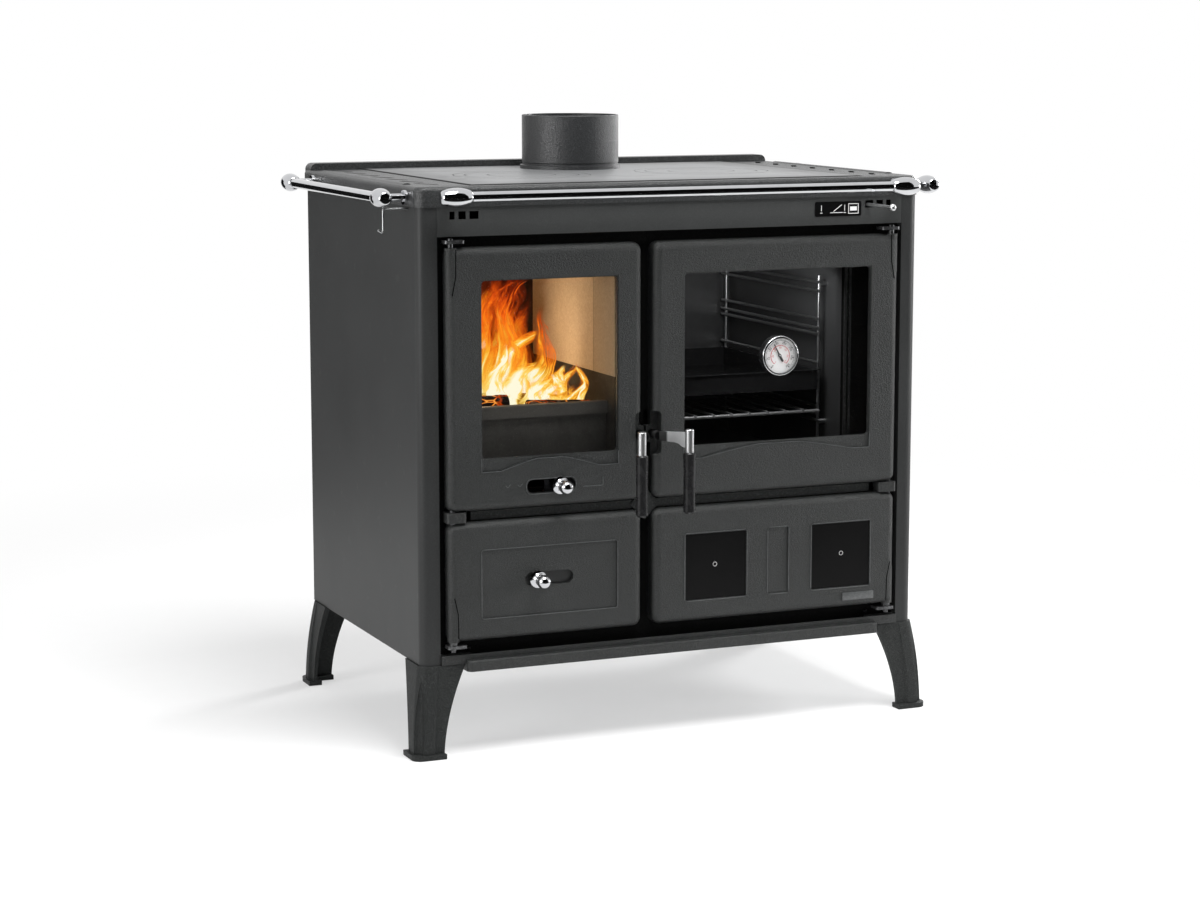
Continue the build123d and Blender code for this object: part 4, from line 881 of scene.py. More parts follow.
@dataclass(frozen=True)
class CharredWood(Finish):
    """A burning log: checked black char with fire in its cracks and grey ash on its back."""

    glow: float = 1.0
    bare: float = 0.25

    def shade(self, graph: Graph) -> None:
        """Crack the char into blocks along the log, light the cracks, and lay ash on the upper side.

        Args:
            graph: The finish's nodes.
        """
        place = graph.place()
        up = graph.upward()
        warped = graph.mapped(place, (46.0, 120.0, 120.0))
        check = Value(graph, graph.cells(warped, 1.0, "DISTANCE_TO_EDGE").outputs["Distance"])
        crack = check.between(0.10, 0.02)
        fibre = graph.noise(graph.mapped(place, (30.0, 420.0, 420.0)), 1.0, 4.0, 0.65)
        heat = graph.noise(place, 21.0, 4.0, 0.6).between(0.42, 0.64)
        wood = graph.noise(place, 17.0, 3.0, 0.6).between(0.60, 0.70) * self.bare
        char = graph.blend(fibre, (0.006, 0.005, 0.0045), (0.034, 0.027, 0.022))
        brown = graph.blend(wood, char, (0.20, 0.085, 0.030))
        ash = graph.noise(place, 75.0, 5.0, 0.7).between(0.52, 0.68) * up.between(0.2, 0.9)
        graph.coat(
            graph.blend(ash * 0.5, brown, (0.40, 0.38, 0.36)),
            roughness=0.8 + 0.15 * fibre,
            sheen=0.25,
            emission_color=graph.ramp(crack * heat, CRACK_HEAT),
            emission_strength=self.glow,
            normal=graph.bump(check.between(0.0, 0.12) * 0.7 + fibre * 0.3, 0.0022, 0.9),
        )


@dataclass(frozen=True)
class Embers(Finish):
    """Glowing coals: orange in their hollows and grey where they have cooled."""

    glow: float = 1.6

    def shade(self, graph: Graph) -> None:
        """Light the coals by slow heat noise and grey their skins by fine ash noise.

        Args:
            graph: The finish's nodes.
        """
        place = graph.place()
        heat = graph.noise(place, 34.0, 5.0, 0.65)
        skin = graph.noise(place, 170.0, 5.0, 0.7).between(0.40, 0.64)
        warmth = (heat.between(0.36, 0.66) * (1.0 - skin * 0.75)).at_most(1.0)
        graph.coat(
            graph.blend(skin, (0.012, 0.010, 0.009), (0.30, 0.28, 0.26)),
            roughness=0.9 + 0.05 * skin,
            sheen=0.2,
            emission_color=graph.ramp(warmth, COAL_HEAT),
            emission_strength=self.glow,
            normal=graph.bump(skin, 0.0012, 0.8),
        )


@dataclass(frozen=True)
class Flame(Finish):
    """Tongues of flame, lit and frayed by noise that runs along them.

    Each tongue's UV map runs from 0 to 1 across it and from its root to its tip, and the tongues
    follow each other along U in steps of two, so that every one reads its own stretch of the noise.
    """

    low: float
    high: float
    left: float
    right: float
    glow: float = 1.2
    body: float = 1.0

    def shade(self, graph: Graph) -> None:
        """Fray the edges, draw strands from root to tip, and heat the flame towards its foot.

        Args:
            graph: The finish's nodes.
        """
        u, v, _ = graph.axes(graph.unwrapped())
        x, _, z = graph.axes(graph.place())
        across = (u / 2.0).fraction() * 2.0
        drift = graph.noise(graph.vector(u * 1.6, v * 2.2, 4.0), 1.0, 2.0, 0.5) - 0.5
        bent = u + drift * 0.75
        strands = graph.noise(graph.vector(bent * 3.0, v * 1.4 + drift, 1.0), 1.0, 4.0, 0.55, 0.9)
        veins = abs(graph.noise(graph.vector(bent * 3.1, v * 2.6, 9.0), 1.0, 4.0, 0.6, 1.6) - 0.5)
        line = (1.0 - veins * 9.0).at_least(0.0)
        core = 1.0 - abs(across * 2.0 - 1.0)
        thick = core * 1.25 + (strands - 0.5) * 2.8 - v * 0.35
        ends = thick.between(0.12, 0.85) * v.between(1.0, 0.80) * v.between(0.0, 0.05)
        shape = ends * core.between(0.0, 0.40)
        up = (z - self.low) / (self.high - self.low)
        over = (x - self.left) / (self.right - self.left)
        heat = 1.02 - up * 1.20 - over * 0.42 + (strands - 0.5) * 2.0 + line * 0.10 + (core - 0.45) * 0.60
        graph.coat(
            (0.0, 0.0, 0.0),
            roughness=1.0,
            sheen=0.0,
            emission_color=graph.ramp(heat.at_least(0.0).at_most(1.0), FLAME_HEAT),
            emission_strength=self.glow,
            alpha=(shape * (0.30 + 0.85 * heat.at_least(0.0) + line * 0.30) * self.body).at_most(1.0),
        )


@dataclass(frozen=True)
class StudioFloor(Finish):
    """The pale floor: white to the camera, and still darkened by what stands on it."""

    colour: Colour = (0.88, 0.88, 0.88)
    near: float = 0.9
    far: float = 2.6

    def shade(self, graph: Graph) -> None:
        """Keep the shadow close to the range and go over to plain white further out.

        Args:
            graph: The finish's nodes.
        """
        place = graph.place()
        x, y, _ = graph.axes(place)
        away = ((x * x + y * y) ** 0.5).between(self.near, self.far)
        rays = graph.node("ShaderNodeLightPath", {}, {}).outputs
        seen = Value(graph, rays["Is Camera Ray"]).at_least(Value(graph, rays["Is Glossy Ray"]))
        seen = seen.at_least(Value(graph, rays["Is Transmission Ray"]))
        weave = graph.noise(place, 30.0, 4.0)
        lit = graph.principled(
            graph.tones(weave, self.colour, 0.985, 1.015),
            roughness=0.9 + 0.05 * weave,
            sheen=0.1,
            normal=graph.bump(weave, 0.0002, 0.1),
        )
        white = graph.node("ShaderNodeEmission", {}, {"Color": (1.0, 1.0, 1.0), "Strength": 1.0}).outputs[0]
        share = seen * (0.45 + 0.55 * away)
        graph.coats(share, lit, white)


@dataclass(frozen=True)
class StudioFlag(Finish):
    """Black felt on a frame, which gives bright metal something dark to mirror."""

    def shade(self, graph: Graph) -> None:
        """A dull black nap.

        Args:
            graph: The finish's nodes.
        """
        nap = graph.noise(graph.place(), 300.0, 3.0)
        graph.coat(
            graph.blend(nap, (0.004, 0.004, 0.004), (0.012, 0.012, 0.012)),
            roughness=0.95 + 0.04 * nap,
            sheen=0.0,
        )


GAP_MIDDLE = -0.05355

SHEET_PAINT = StovePaint(
    "anthracite_sheet_paint", (0.035, 0.0363, 0.0363), grain=900.0, relief=0.00008, gloss=0.44, grain_and_glint=0.2,
    wear=0.05, sheen=0.24
)
FASCIA_PAINT = StovePaint(
    "anthracite_fascia_paint", (0.052, 0.0542, 0.0537), grain=900.0, relief=0.00006, gloss=0.40, grain_and_glint=0.16,
    wear=0.05, sheen=0.35
)
CAST_PAINT = StovePaint(
    "anthracite_cast_paint", (0.0186, 0.0199, 0.0194), grain=900.0, relief=0.0016, gloss=0.34, grain_and_glint=0.9,
    wear=0.07, sheen=0.40
)
LEG_PAINT = StovePaint(
    "anthracite_leg_paint", (0.0270, 0.0285, 0.0280), grain=900.0, relief=0.0009, gloss=0.44, grain_and_glint=0.8,
    wear=0.10, sheen=0.08
)
TOP_PAINT = TopIron(
    "anthracite_top_paint", (0.024, 0.0252, 0.0256), grain=520.0, relief=0.0016, gloss=0.36, grain_and_glint=0.8,
    wear=0.18, sheen=0.5
)
COLLAR_PAINT = StovePaint(
    "anthracite_collar_paint", (0.022, 0.0231, 0.0243), grain=640.0, relief=0.0009, gloss=0.38, grain_and_glint=0.6,
    wear=0.06, sheen=0.55
)
# paler paint for beads that stand as painted highlights on the doors' edges and marks
EDGE_HIGHLIGHT_PAINT = StovePaint(
    "painted_edge_highlight", (0.085, 0.089, 0.090), grain=500.0, relief=0.0001, gloss=0.32, grain_and_glint=0.3,
    wear=0.20, sheen=0.6
)
# the near-black part is painted shade in the gaps round the doors
FRAME_IRON = FrameIron(
    "front_frame_iron", black=(0.0009, 0.0009, 0.0009), cast=(0.024, 0.0252, 0.0248),
    rib=FRONT_PLANE + 0.0128
)
BOX_PAINT = StovePaint(
    "black_box_paint", (0.008, 0.008, 0.008), grain=700.0, relief=0.00012, gloss=0.50, grain_and_glint=0.20,
    wear=0.10, sheen=0.3
)
# near-black painted shadow for the hob's joint and the doors' hinge-side grooves
JOINT_SHADOW = StovePaint(
    "painted_joint_shadow", (0.0012, 0.0012, 0.0012), grain=700.0, relief=0.0002, gloss=0.85, grain_and_glint=0.4,
    wear=0.04, sheen=0.03
)
INLAY_PAINT = StovePaint(
    "satin_inlay_paint", (0.0030, 0.0030, 0.0031), grain=700.0, relief=0.00004, gloss=0.34, grain_and_glint=0.20,
    wear=0.06, sheen=0.16
)
PLATE_PAINT = StovePaint(
    "satin_plate_paint", (0.0030, 0.0030, 0.0032), grain=700.0, relief=0.00003, gloss=0.32, grain_and_glint=0.15,
    wear=0.06, sheen=0.18
)
SLIDE_PAINT = StovePaint(
    "painted_slide_steel", (0.026, 0.027, 0.027), grain=800.0, relief=0.00008, gloss=0.36, grain_and_glint=0.20,
    wear=0.20, sheen=0.45
)
LUG_STEEL = HingeIron(
    "hinge_lug_steel", steel=(0.13, 0.132, 0.135), cast=(0.0175, 0.0186, 0.0182), middle=(0.358, 0.374)
)
GROUND_HOB = GroundIron("ground_hob_iron", (0.190, 0.193, 0.197), half_width=0.328, front=FRONT_PLANE + 0.02)
FIRE_IRON = SootedIron("sooted_fire_iron", (0.034, 0.033, 0.032), soot=0.4)
GRATE_IRON = SootedIron("sooted_grate_iron", (0.060, 0.056, 0.052), soot=0.4, ash=0.5)
# the log guard is painted lighter above its band's edge as painted light
GUARD_IRON = SootedIron("log_guard_iron", (0.058, 0.0585, 0.0585), soot=0.16, ash=0.05, painted_light_above=0.503)
FIRE_BOARD = PressedBoard(
    "pressed_fire_board", (0.52, 0.435, 0.325), low=0.562, high=0.725, joint=FRONT_PLANE + 0.105
)
CHROME = Plating("polished_chrome", (0.53, 0.535, 0.55), gloss=0.05, smudge=0.05)
HANDLE_CHROME = Plating("satin_chrome", (0.60, 0.61, 0.62), gloss=0.20, smudge=0.06)
HANDLE_METAL = HandleMetal(
    "handle_chrome", (0.66, 0.665, 0.67), middle=GAP_MIDDLE, hub=(0.0180, 0.0200), gloss=0.36
)
BRIGHT_WIRE = Plating("bright_rack_wire", (0.42, 0.425, 0.43), gloss=0.30, smudge=0.08)
GRID_WIRE = StovePaint(
    "oven_grid_wire", (0.20, 0.202, 0.205), grain=700.0, relief=0.00005, gloss=0.30, grain_and_glint=0.2, wear=0.10,
    sheen=0.8
)
BLACK_SLIDE = Plating("blacked_slide_steel", (0.020, 0.020, 0.021), gloss=0.34, smudge=0.12)
LEVER_STEEL = Plating("damper_lever_steel", (0.66, 0.665, 0.67), gloss=0.34, smudge=0.05)
ZINC_SHEET = Galvanised("galvanised_sheet", (0.40, 0.41, 0.42))
GRIP_BLACK = Moulding("grip_moulding")
OVEN_ENAMEL = Enamel("oven_enamel", (0.024, 0.0245, 0.025), gloss=0.30)
TRAY_ENAMEL = Enamel("tray_enamel", (0.0085, 0.0086, 0.0090), gloss=0.14, sheen=0.2)
SEAL_ROPE = BraidedRope("door_seal_rope", (0.045, 0.044, 0.042))
DIAL_WHITE = Ink("dial_enamel_white", (0.98, 0.98, 0.97), gloss=0.35, mottle=0.02)
INK_BLACK = Ink("dial_ink_black", (0.006, 0.006, 0.0065))
INK_RED = Ink("dial_ink_red", (0.62, 0.03, 0.03))
INK_PALE = Ink("plate_ink_pale", (0.72, 0.72, 0.72))
NEEDLE_BLACK = Ink("needle_black", (0.014, 0.015, 0.020), gloss=0.3)
FIREBOX_PANE = ClearPane(
    "firebox_pane", tint=(0.97, 0.96, 0.94), haze=0.04, middle=(-0.2154, 0.5867), reach=(0.122, 0.145)
)
OVEN_PANE = ClearPane(
    "oven_pane", tint=(0.90, 0.90, 0.90), haze=0.05, middle=(0.1683, 0.5867), reach=(0.172, 0.145)
)
DIAL_LENS = ClearPane(
    "dial_lens", tint=(1.0, 1.0, 1.0), haze=0.01, middle=(0.1683, 0.5867), reach=(0.05, 0.05)
)


# ----- Mesh making -----


class Axis(Enum):
    """The direction that a turned shape points along."""

    ACROSS = "x"
    BACK = "y"
    UP = "z"

    def turn(self) -> Matrix:
        """Find the turn that takes a shape's own Z axis to this one.

        Returns:
            The turn.
        """
        if self is Axis.ACROSS:
            return Matrix.Rotation(math.pi / 2, 4, "Y")
        if self is Axis.BACK:
            return Matrix.Rotation(-math.pi / 2, 4, "X")
        return Matrix.Identity(4)


class Shape:
    """A mesh in the making, in millimetres: X, depth behind the front plane, and height."""

    def __init__(self) -> None:
        """Start an empty mesh."""
        self.mesh = bmesh.new()
        self.mesh.loops.layers.uv.new("UVMap")

    def block(self, x: Range, depth: Range, z: Range, rounding: float = 0.0) -> "Shape":
        """Add a block with rounded edges.

        Args:
            x: Its range across.
            depth: Its range behind the front plane.
            z: Its range of height.
            rounding: The radius of its edges.

        Returns:
            This shape.
        """
        size = [high - low for low, high in (x, depth, z)]
        centre = [middle_of(span) for span in (x, depth, z)]
        place = Matrix.Translation(centre) @ Matrix.Diagonal((*size, 1.0))
        made = bmesh.ops.create_cube(self.mesh, size=1.0, matrix=place, calc_uvs=True)
        if rounding > 0.0:
            edges = list(dict.fromkeys(edge for vert in made["verts"] for edge in vert.link_edges))
            form = {"offset": rounding, "segments": 2, "profile": 0.5, "affect": "EDGES", "material": -1}
            bmesh.ops.bevel(self.mesh, geom=edges, **form)
        return self

    def turned(self, centre: Point, axis: Axis, outline: Sequence[Range], steps: int = 24) -> "Shape":
        """Add a solid turned from an outline.

        Args:
            centre: The point that the outline starts from.
            axis: The direction of its axis.
            outline: Pairs of radius and place along the axis, from pole to pole.
            steps: The facets round it.

        Returns:
            This shape.
        """
        place = Matrix.Translation(centre) @ axis.turn()
        verts = [self.mesh.verts.new(place @ Vector((radius, 0.0, along))) for radius, along in outline]
        edges = [self.mesh.edges.new(pair) for pair in zip(verts, verts[1:])]
        bmesh.ops.spin(
            self.mesh,
            geom=verts + edges,
            cent=centre,
            axis=place.to_3x3() @ Vector((0.0, 0.0, 1.0)),
            angle=math.tau,
            steps=steps,
            use_merge=True,
        )
        bmesh.ops.remove_doubles(self.mesh, verts=self.mesh.verts, dist=0.001)
        bmesh.ops.recalc_face_normals(self.mesh, faces=self.mesh.faces)
        return self

    def lettering(self, text: str, centre: Point, size: float, turn: float = 0.0) -> "Shape":
        """Add figures that face the front.

        Args:
            text: The figures.
            centre: Their middle.
            size: Their height.
            turn: Their turn to the right, in radians.

        Returns:
            This shape.
        """
        curve = bpy.data.curves.new("figures", "FONT")
        curve.body = text
        curve.size = size
        curve.align_x = "CENTER"
        curve.align_y = "CENTER"
        curve.resolution_u = 3
        holder = bpy.data.objects.new("figures", curve)
        flat = bpy.data.meshes.new_from_object(holder)
        upright = Matrix.Rotation(turn, 4, "Y") @ Matrix.Rotation(math.pi / 2, 4, "X")
        flat.transform(Matrix.Translation(centre) @ upright)
        self.mesh.from_mesh(flat)
        bpy.data.meshes.remove(flat)
        bpy.data.objects.remove(holder)
        bpy.data.curves.remove(curve)
        return self

    def bead(
        self, points: Sequence[Range], face: float, width: float, rise: float, closed: bool = False
    ) -> "Shape":
        """Add a thin bead that follows a line drawn on a face.

        Args:
            points: The line, as pairs of X and height.
            face: The depth of the face that it stands on.
            width: Its width.
            rise: How far it stands out of the face.
            closed: Whether it ends where it starts.

        Returns:
            This shape.
        """
        line = list(points) + ([points[0]] if closed else [])
        for (x, z), (far_x, far_z) in zip(line, line[1:]):
            length = math.hypot(far_x - x, far_z - z) + width * 0.5
            turn = Matrix.Rotation(-math.atan2(far_z - z, far_x - x), 4, "Y")
            run = Shape().block((-length / 2, length / 2), (face - rise, face + 0.3), (-width / 2, width / 2))
            self.joined(run.moved(Matrix.Translation(((x + far_x) / 2, 0.0, (z + far_z) / 2)) @ turn))
        return self

    def moved(self, matrix: Matrix) -> "Shape":
        """Move everything made so far."""
        bmesh.ops.transform(self.mesh, matrix=matrix, verts=self.mesh.verts)
        return self

    def joined(self, other: "Shape") -> "Shape":
        """Take over another shape's mesh.

        Args:
            other: The other shape, which is spent.

        Returns:
            This shape.
        """
        held = bpy.data.meshes.new("held")
        other.mesh.to_mesh(held)
        other.mesh.free()
        self.mesh.from_mesh(held)
        bpy.data.meshes.remove(held)
        return self

    def piece(
        self, name: str, finish: Finish, body: str, slot: str = "", smooth: float = 40.0
    ) -> bpy.types.Object:
        """Turn the shape into a piece of the range.

        Args:
            name: The piece's name.
            finish: What it wears.
            body: The body that it moves with.
            slot: Not used; the record's slot that the finish belongs to, if it has one.
            smooth: The sharpest turn between two faces that still looks smooth, in degrees.

        Returns:
            The piece, with its place in its mesh.
        """
        scale = Matrix.Translation((0.0, FRONT_PLANE, 0.0)) @ Matrix.Scale(MILLIMETRE, 4)
        bmesh.ops.transform(self.mesh, matrix=scale, verts=self.mesh.verts)
        for face in self.mesh.faces:
            face.smooth = True
        for edge in self.mesh.edges:
            edge.smooth = len(edge.link_faces) == 2 and edge.calc_face_angle(0.0) < math.radians(smooth)
        data = bpy.data.meshes.new(name)
        self.mesh.to_mesh(data)
        self.mesh.free()
        made = bpy.data.objects.new(name, data)
        bpy.context.scene.collection.objects.link(made)
        finish.dress(made)
        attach(made, body)
        LOG.info("%s rides on %s", name, body)
        return made


def middle_of(span: Range) -> float:
    """Return the middle of a range."""
    return (span[0] + span[1]) / 2


def depth_of(name: str, side: int = 0) -> float:
    """Return the depth of a CAD node's front face, or of its back face for side 1."""
    return (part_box(name)[side].y - FRONT_PLANE) / MILLIMETRE


def rounded_outline(x: Range, z: Range, corner: float, steps: int = 5) -> list[Range]:
    """Return the outline of a rectangle with rounded corners.

    Args:
        x: Its range across.
        z: Its range of height.
        corner: The radius of its corners.
        steps: The runs in each corner.

    Returns:
        The outline's points, once round.
    """
    points = []
    for index, (cx, cz) in enumerate(
        (
            (x[1] - corner, z[1] - corner),
            (x[0] + corner, z[1] - corner),
            (x[0] + corner, z[0] + corner),
            (x[1] - corner, z[0] + corner),
        )
    ):
        for step in range(steps + 1):
            angle = math.pi / 2 * (index + step / steps)
            points.append((cx + corner * math.cos(angle), cz + corner * math.sin(angle)))
    return points


def smooth_course(points: Sequence[Point], steps: int) -> list[Vector]:
    """Return points along a soft curve through the given ones.

    Args:
        points: The points that it passes through.
        steps: The runs between two of them.

    Returns:
        The curve's points, from the first to the last.
    """
    course = [Vector(point) for point in points]
    course = [course[0] * 2 - course[1], *course, course[-1] * 2 - course[-2]]
    curve = []
    for before, start, end, after in zip(course, course[1:], course[2:], course[3:]):
        for step in range(steps):
            t = step / steps
            curve.append(
                0.5
                * (
                    2 * start
                    + (end - before) * t
                    + (2 * before - 5 * start + 4 * end - after) * t * t
                    + (3 * start - before - 3 * end + after) * t * t * t
                )
            )
    return [*curve, course[-2]]


def screw(shape: Shape, centre: Point, radius: float, axis_sign: float = -1.0) -> None:
    """Add a pan-head screw with a cross recess that stands along the depth axis.

    Args:
        shape: The shape that it is added to.
        centre: The middle of its seat.
        radius: Its head's radius.
        axis_sign: -1 for a head that faces the front, 1 for one that faces the back.
    """
    head = Shape()
    rise = radius * 0.62
    outline = [(0.0, 0.0), (radius, 0.0), (radius, rise * 0.35), (radius * 0.82, rise * 0.82)]
    outline += [(radius * 0.45, rise), (radius * 0.40, rise * 0.55), (0.0, rise * 0.40)]
    head.turned((0.0, 0.0, 0.0), Axis.UP, outline, 16)
    along, across, height = (
        (-radius * 0.52, radius * 0.52),
        (-radius * 0.1, radius * 0.1),
        (rise * 0.5, rise * 1.01),
    )
    for turn in (0.0, math.pi / 2):
        blade = Shape().block(along, across, height, 0.05)
        head.joined(blade.moved(Matrix.Rotation(turn, 4, "Z")))
    face = Matrix.Rotation(math.pi / 2 if axis_sign < 0 else -math.pi / 2, 4, "X")
    shape.joined(head.moved(Matrix.Translation(centre) @ face))


# ----- Sub-assemblies -----


@dataclass
class Assembly:
    """A group of the range's pieces that are dressed together."""

    def wear(self, finish: Finish, *names: str) -> None:
        """Put a finish on CAD nodes.

        Args:
            finish: The finish.
            names: The nodes that wear it.
        """
        for name in names:
            finish.dress(frame["nodes"][name])
            LOG.info("%s wears %s", name, finish.name)

    def build(self) -> None:
        """Make and dress the group."""
        self.dress()
        self.make()

    def dress(self) -> None:
        """Dress the CAD nodes of the group."""

    def make(self) -> None:
        """Make the pieces that the group adds."""


@dataclass
class Casing(Assembly):
    """The painted sheets round the range, the legs, and the fixings behind."""

    screw_radius: float = 4.2
    screw_x: tuple[float, ...] = (-398.0, -200.0, 0.0, 200.0, 398.0)
    screw_z: tuple[float, ...] = (158.0, 330.0, 500.0, 670.0, 812.0)
    frame_screws: tuple[Range, ...] = ((-341.3, 160.8), (341.3, 160.8))
    frame_screw_radius: float = 4.0
    frame_face: float = 13.3

    def dress(self) -> None:
        """Paint the sheets and the legs."""
        self.wear(SHEET_PAINT, "side_panel_left", "side_panel_right", "back_panel")
        self.wear(FASCIA_PAINT, "fascia_panel")
        self.wear(ZINC_SHEET, "base_plate")
        self.wear(CAST_PAINT, "base_shelf")
        self.wear(LEG_PAINT, "leg_front_left", "leg_front_right", "leg_rear_left", "leg_rear_right")
        self.wear(FRAME_IRON, "front_frame")
        self.wear(LUG_STEEL, "hinge_lugs")

    def make(self) -> None:
        """Screw the back panel down round its edge, and the frame at its lower corners."""
        back = depth_of("back_panel", 1)
        fixings = Shape()
        for x in self.screw_x:
            for z in self.screw_z:
                if x in (self.screw_x[0], self.screw_x[-1]) or z in (self.screw_z[0], self.screw_z[-1]):
                    screw(fixings, (x, back, z), self.screw_radius, 1.0)
        fixings.piece("back_panel_screws", BLACK_SLIDE, "cabinet", "slide_steel")
        front = Shape()
        for x, z in self.frame_screws:
            screw(front, (x, self.frame_face, z), self.frame_screw_radius)
        front.piece("front_frame_screws", BLACK_SLIDE, "cabinet", "slide_steel")


@dataclass
class CookTop(Assembly):
    """The cast top, its ground plate and the flue."""

    half_width: float = 328.0
    depth: Range = (20.0, 532.0)
    face: float = 860.0
    joint: float = 3.0
    play: float = 0.1
    sunk: float = 0.4
    proud: float = 0.25

    def make(self) -> None:
        """Lay a near-black cord in the joint round the hob plate as the joint's painted shadow."""
        z = (self.face - self.sunk, self.face + self.proud)
        out, front = self.half_width + self.joint, self.depth[0] - self.joint
        cord = Shape()
        for x in ((-out, -self.half_width - self.play), (self.half_width + self.play, out)):
            cord.block(x, (front, self.depth[1] + self.sunk), z)
        cord.block((-self.half_width, self.half_width), (front, self.depth[0] - self.play), z)
        cord.piece("hob_joint_shadow", JOINT_SHADOW, "cabinet", "rope")

    def dress(self) -> None:
        """Dress the top."""
        self.wear(TOP_PAINT, "top_frame")
        self.wear(GROUND_HOB, "hob_plate")
        self.wear(COLLAR_PAINT, "flue_collar")
        self.wear(BOX_PAINT, "smoke_chamber")
        self.wear(LEVER_STEEL, "damper_lever")


@dataclass
class Rails(Assembly):
    """The chrome rails with their turned knobs, and the poker's hook."""

    front_depth: float = -39.0
    front_z: float = 846.0
    front_x: float = 373.3
    side_x: float = 461.4
    side_z: float = 843.0
    side_depths: Range = (44.6, 499.3)
    length: float = 48.0
    neck: float = 10.5
    belly: float = 14.5

    def dress(self) -> None:
        """Plate the rails."""
        self.wear(CHROME, "rail_tubes", "rail_posts")
        self.wear(BRIGHT_WIRE, "tool_hook")

    def outline(self) -> list[Range]:
        """Draw a knob: a flat end with a bevel, a bellied middle, and the same again.

        Returns:
            Its outline, from pole to pole.
        """
        half = self.length / 2
        belly = []
        for step in range(13):
            along = -(half - 3.0) + (self.length - 6.0) * step / 12
            share = along / (half - 3.0)
            belly.append((self.belly - (self.belly - self.neck) * share * share, along))
        ends = [(0.0, -half), (self.neck - 3.0, -half), (self.neck - 0.8, -half + 1.6)]
        return [*ends, *belly, *((radius, -along) for radius, along in reversed(ends))]

    def make(self) -> None:
        """Turn the six knobs."""
        knobs = Shape()
        places = [((side * self.front_x, self.front_depth, self.front_z), Axis.ACROSS) for side in (-1, 1)]
        for side in (-1, 1):
            for depth in self.side_depths:
                places.append(((side * self.side_x, depth, self.side_z), Axis.BACK))
        for centre, axis in places:
            knobs.joined(Shape().turned(centre, axis, self.outline(), 40))
        made = knobs.piece("rail_knobs_turned", CHROME, "cabinet", "chrome_plate", 50.0)
        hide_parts("rail_knobs")


@dataclass
class ControlEnd(Assembly):
    """The black plate by the damper lever, with a plain sign for an open and a shut flap."""

    z: Range = (799.5, 822.5)
    line: float = 0.9
    print_lift: float = 0.15
    duct: Range = (262.0, 284.0)
    duct_drop: float = 6.2
    flap_middle: Range = (275.0, 1.2)
    flap_half: float = 9.0
    flap_lean: float = 0.62
    bars: Range = (246.0, 287.0)
    frame: Range = (294.0, 312.0)
    frame_half: float = 8.0
    opening: Range = (297.0, 309.0)
    opening_half: float = 3.2

    def dress(self) -> None:
        """Dress the plate."""
        self.wear(PLATE_PAINT, "control_plate")

    def make(self) -> None:
        """Print the sign: a duct with its flap up, a bar for the duct's floor, and a framed duct end."""
        face = depth_of("control_plate")
        depth = (face - self.print_lift, face - 0.01)
        line, middle = self.line, middle_of(self.z)
        floor = middle - self.duct_drop
        sign = Shape().block(self.duct, depth, (floor, floor + line))
        flap = Shape().block((-self.flap_half, self.flap_half), depth, (-line / 2, line / 2))
        place = (self.flap_middle[0], 0.0, middle + self.flap_middle[1])
        sign.joined(flap.moved(Matrix.Translation(place) @ Matrix.Rotation(-self.flap_lean, 4, "Y")))
        for x in self.bars:
            sign.block((x, x + line), depth, (middle - 3.0, middle + 6.0))
            sign.block((x - 1.5, x + 1.5 + line), depth, (middle - 6.4, middle - 5.4))
        (left, right), low, high = self.frame, middle - self.frame_half, middle + self.frame_half
        for x in (left, right - line):
            sign.block((x, x + line), depth, (low, high))
        for z in (low, high - line):
            sign.block((left + line, right - line), depth, (z, z + line))
        sign.block(self.opening, depth, (middle - self.opening_half, middle + self.opening_half))
        sign.piece("control_plate_sign", INK_PALE, "cabinet", "plate_black")


@dataclass
class FireBox(Assembly):
    """The fire's own box and what lines it."""

    def dress(self) -> None:
        """Dress the shell, the castings and the boards."""
        self.wear(BOX_PAINT, "firebox_shell", "ash_drawer")
        self.wear(FIRE_IRON, "firebox_surround", "firebox_back_plate")
        self.wear(GRATE_IRON, "firebox_grate")
        self.wear(GUARD_IRON, "log_guard")
        self.wear(FIRE_BOARD, "firebox_side_liners", "smoke_baffle")


FAR_FLAMES = (
    (290.0, ((-250, 505, 74), (-246, 560, 76), (-232, 620, 70), (-214, 676, 60), (-200, 722, 40))),
    (285.0, ((-178, 505, 60), (-168, 556, 56), (-164, 600, 46), (-178, 648, 38), (-190, 700, 24))),
    (276.0, ((-176, 560, 34), (-170, 600, 42), (-166, 650, 46), (-162, 690, 42), (-158, 726, 30))),
    (280.0, ((-316, 505, 30), (-312, 560, 32), (-306, 610, 28), (-298, 655, 16))),
)
BACK_FLAMES = (
    (
        225.0,
        (
            *((-219, 500, 37), (-222, 556, 41), (-208, 611, 41)),
            *((-204, 650, 34), (-196, 682, 24), (-184, 713, 10)),
        ),
    ),
    (
        228.0,
        (
            *((-197, 498, 38), (-185, 546, 38), (-179, 586, 31)),
            *((-191, 626, 27), (-204, 666, 24), (-212, 711, 17)),
        ),
    ),
    (222.0, ((-239, 588, 27), (-232, 628, 27), (-221, 662, 24), (-199, 687, 19), (-170, 700, 9))),
    (232.0, ((-292, 505, 30), (-296, 552, 32), (-288, 600, 30), (-279, 646, 24), (-268, 690, 12))),
)
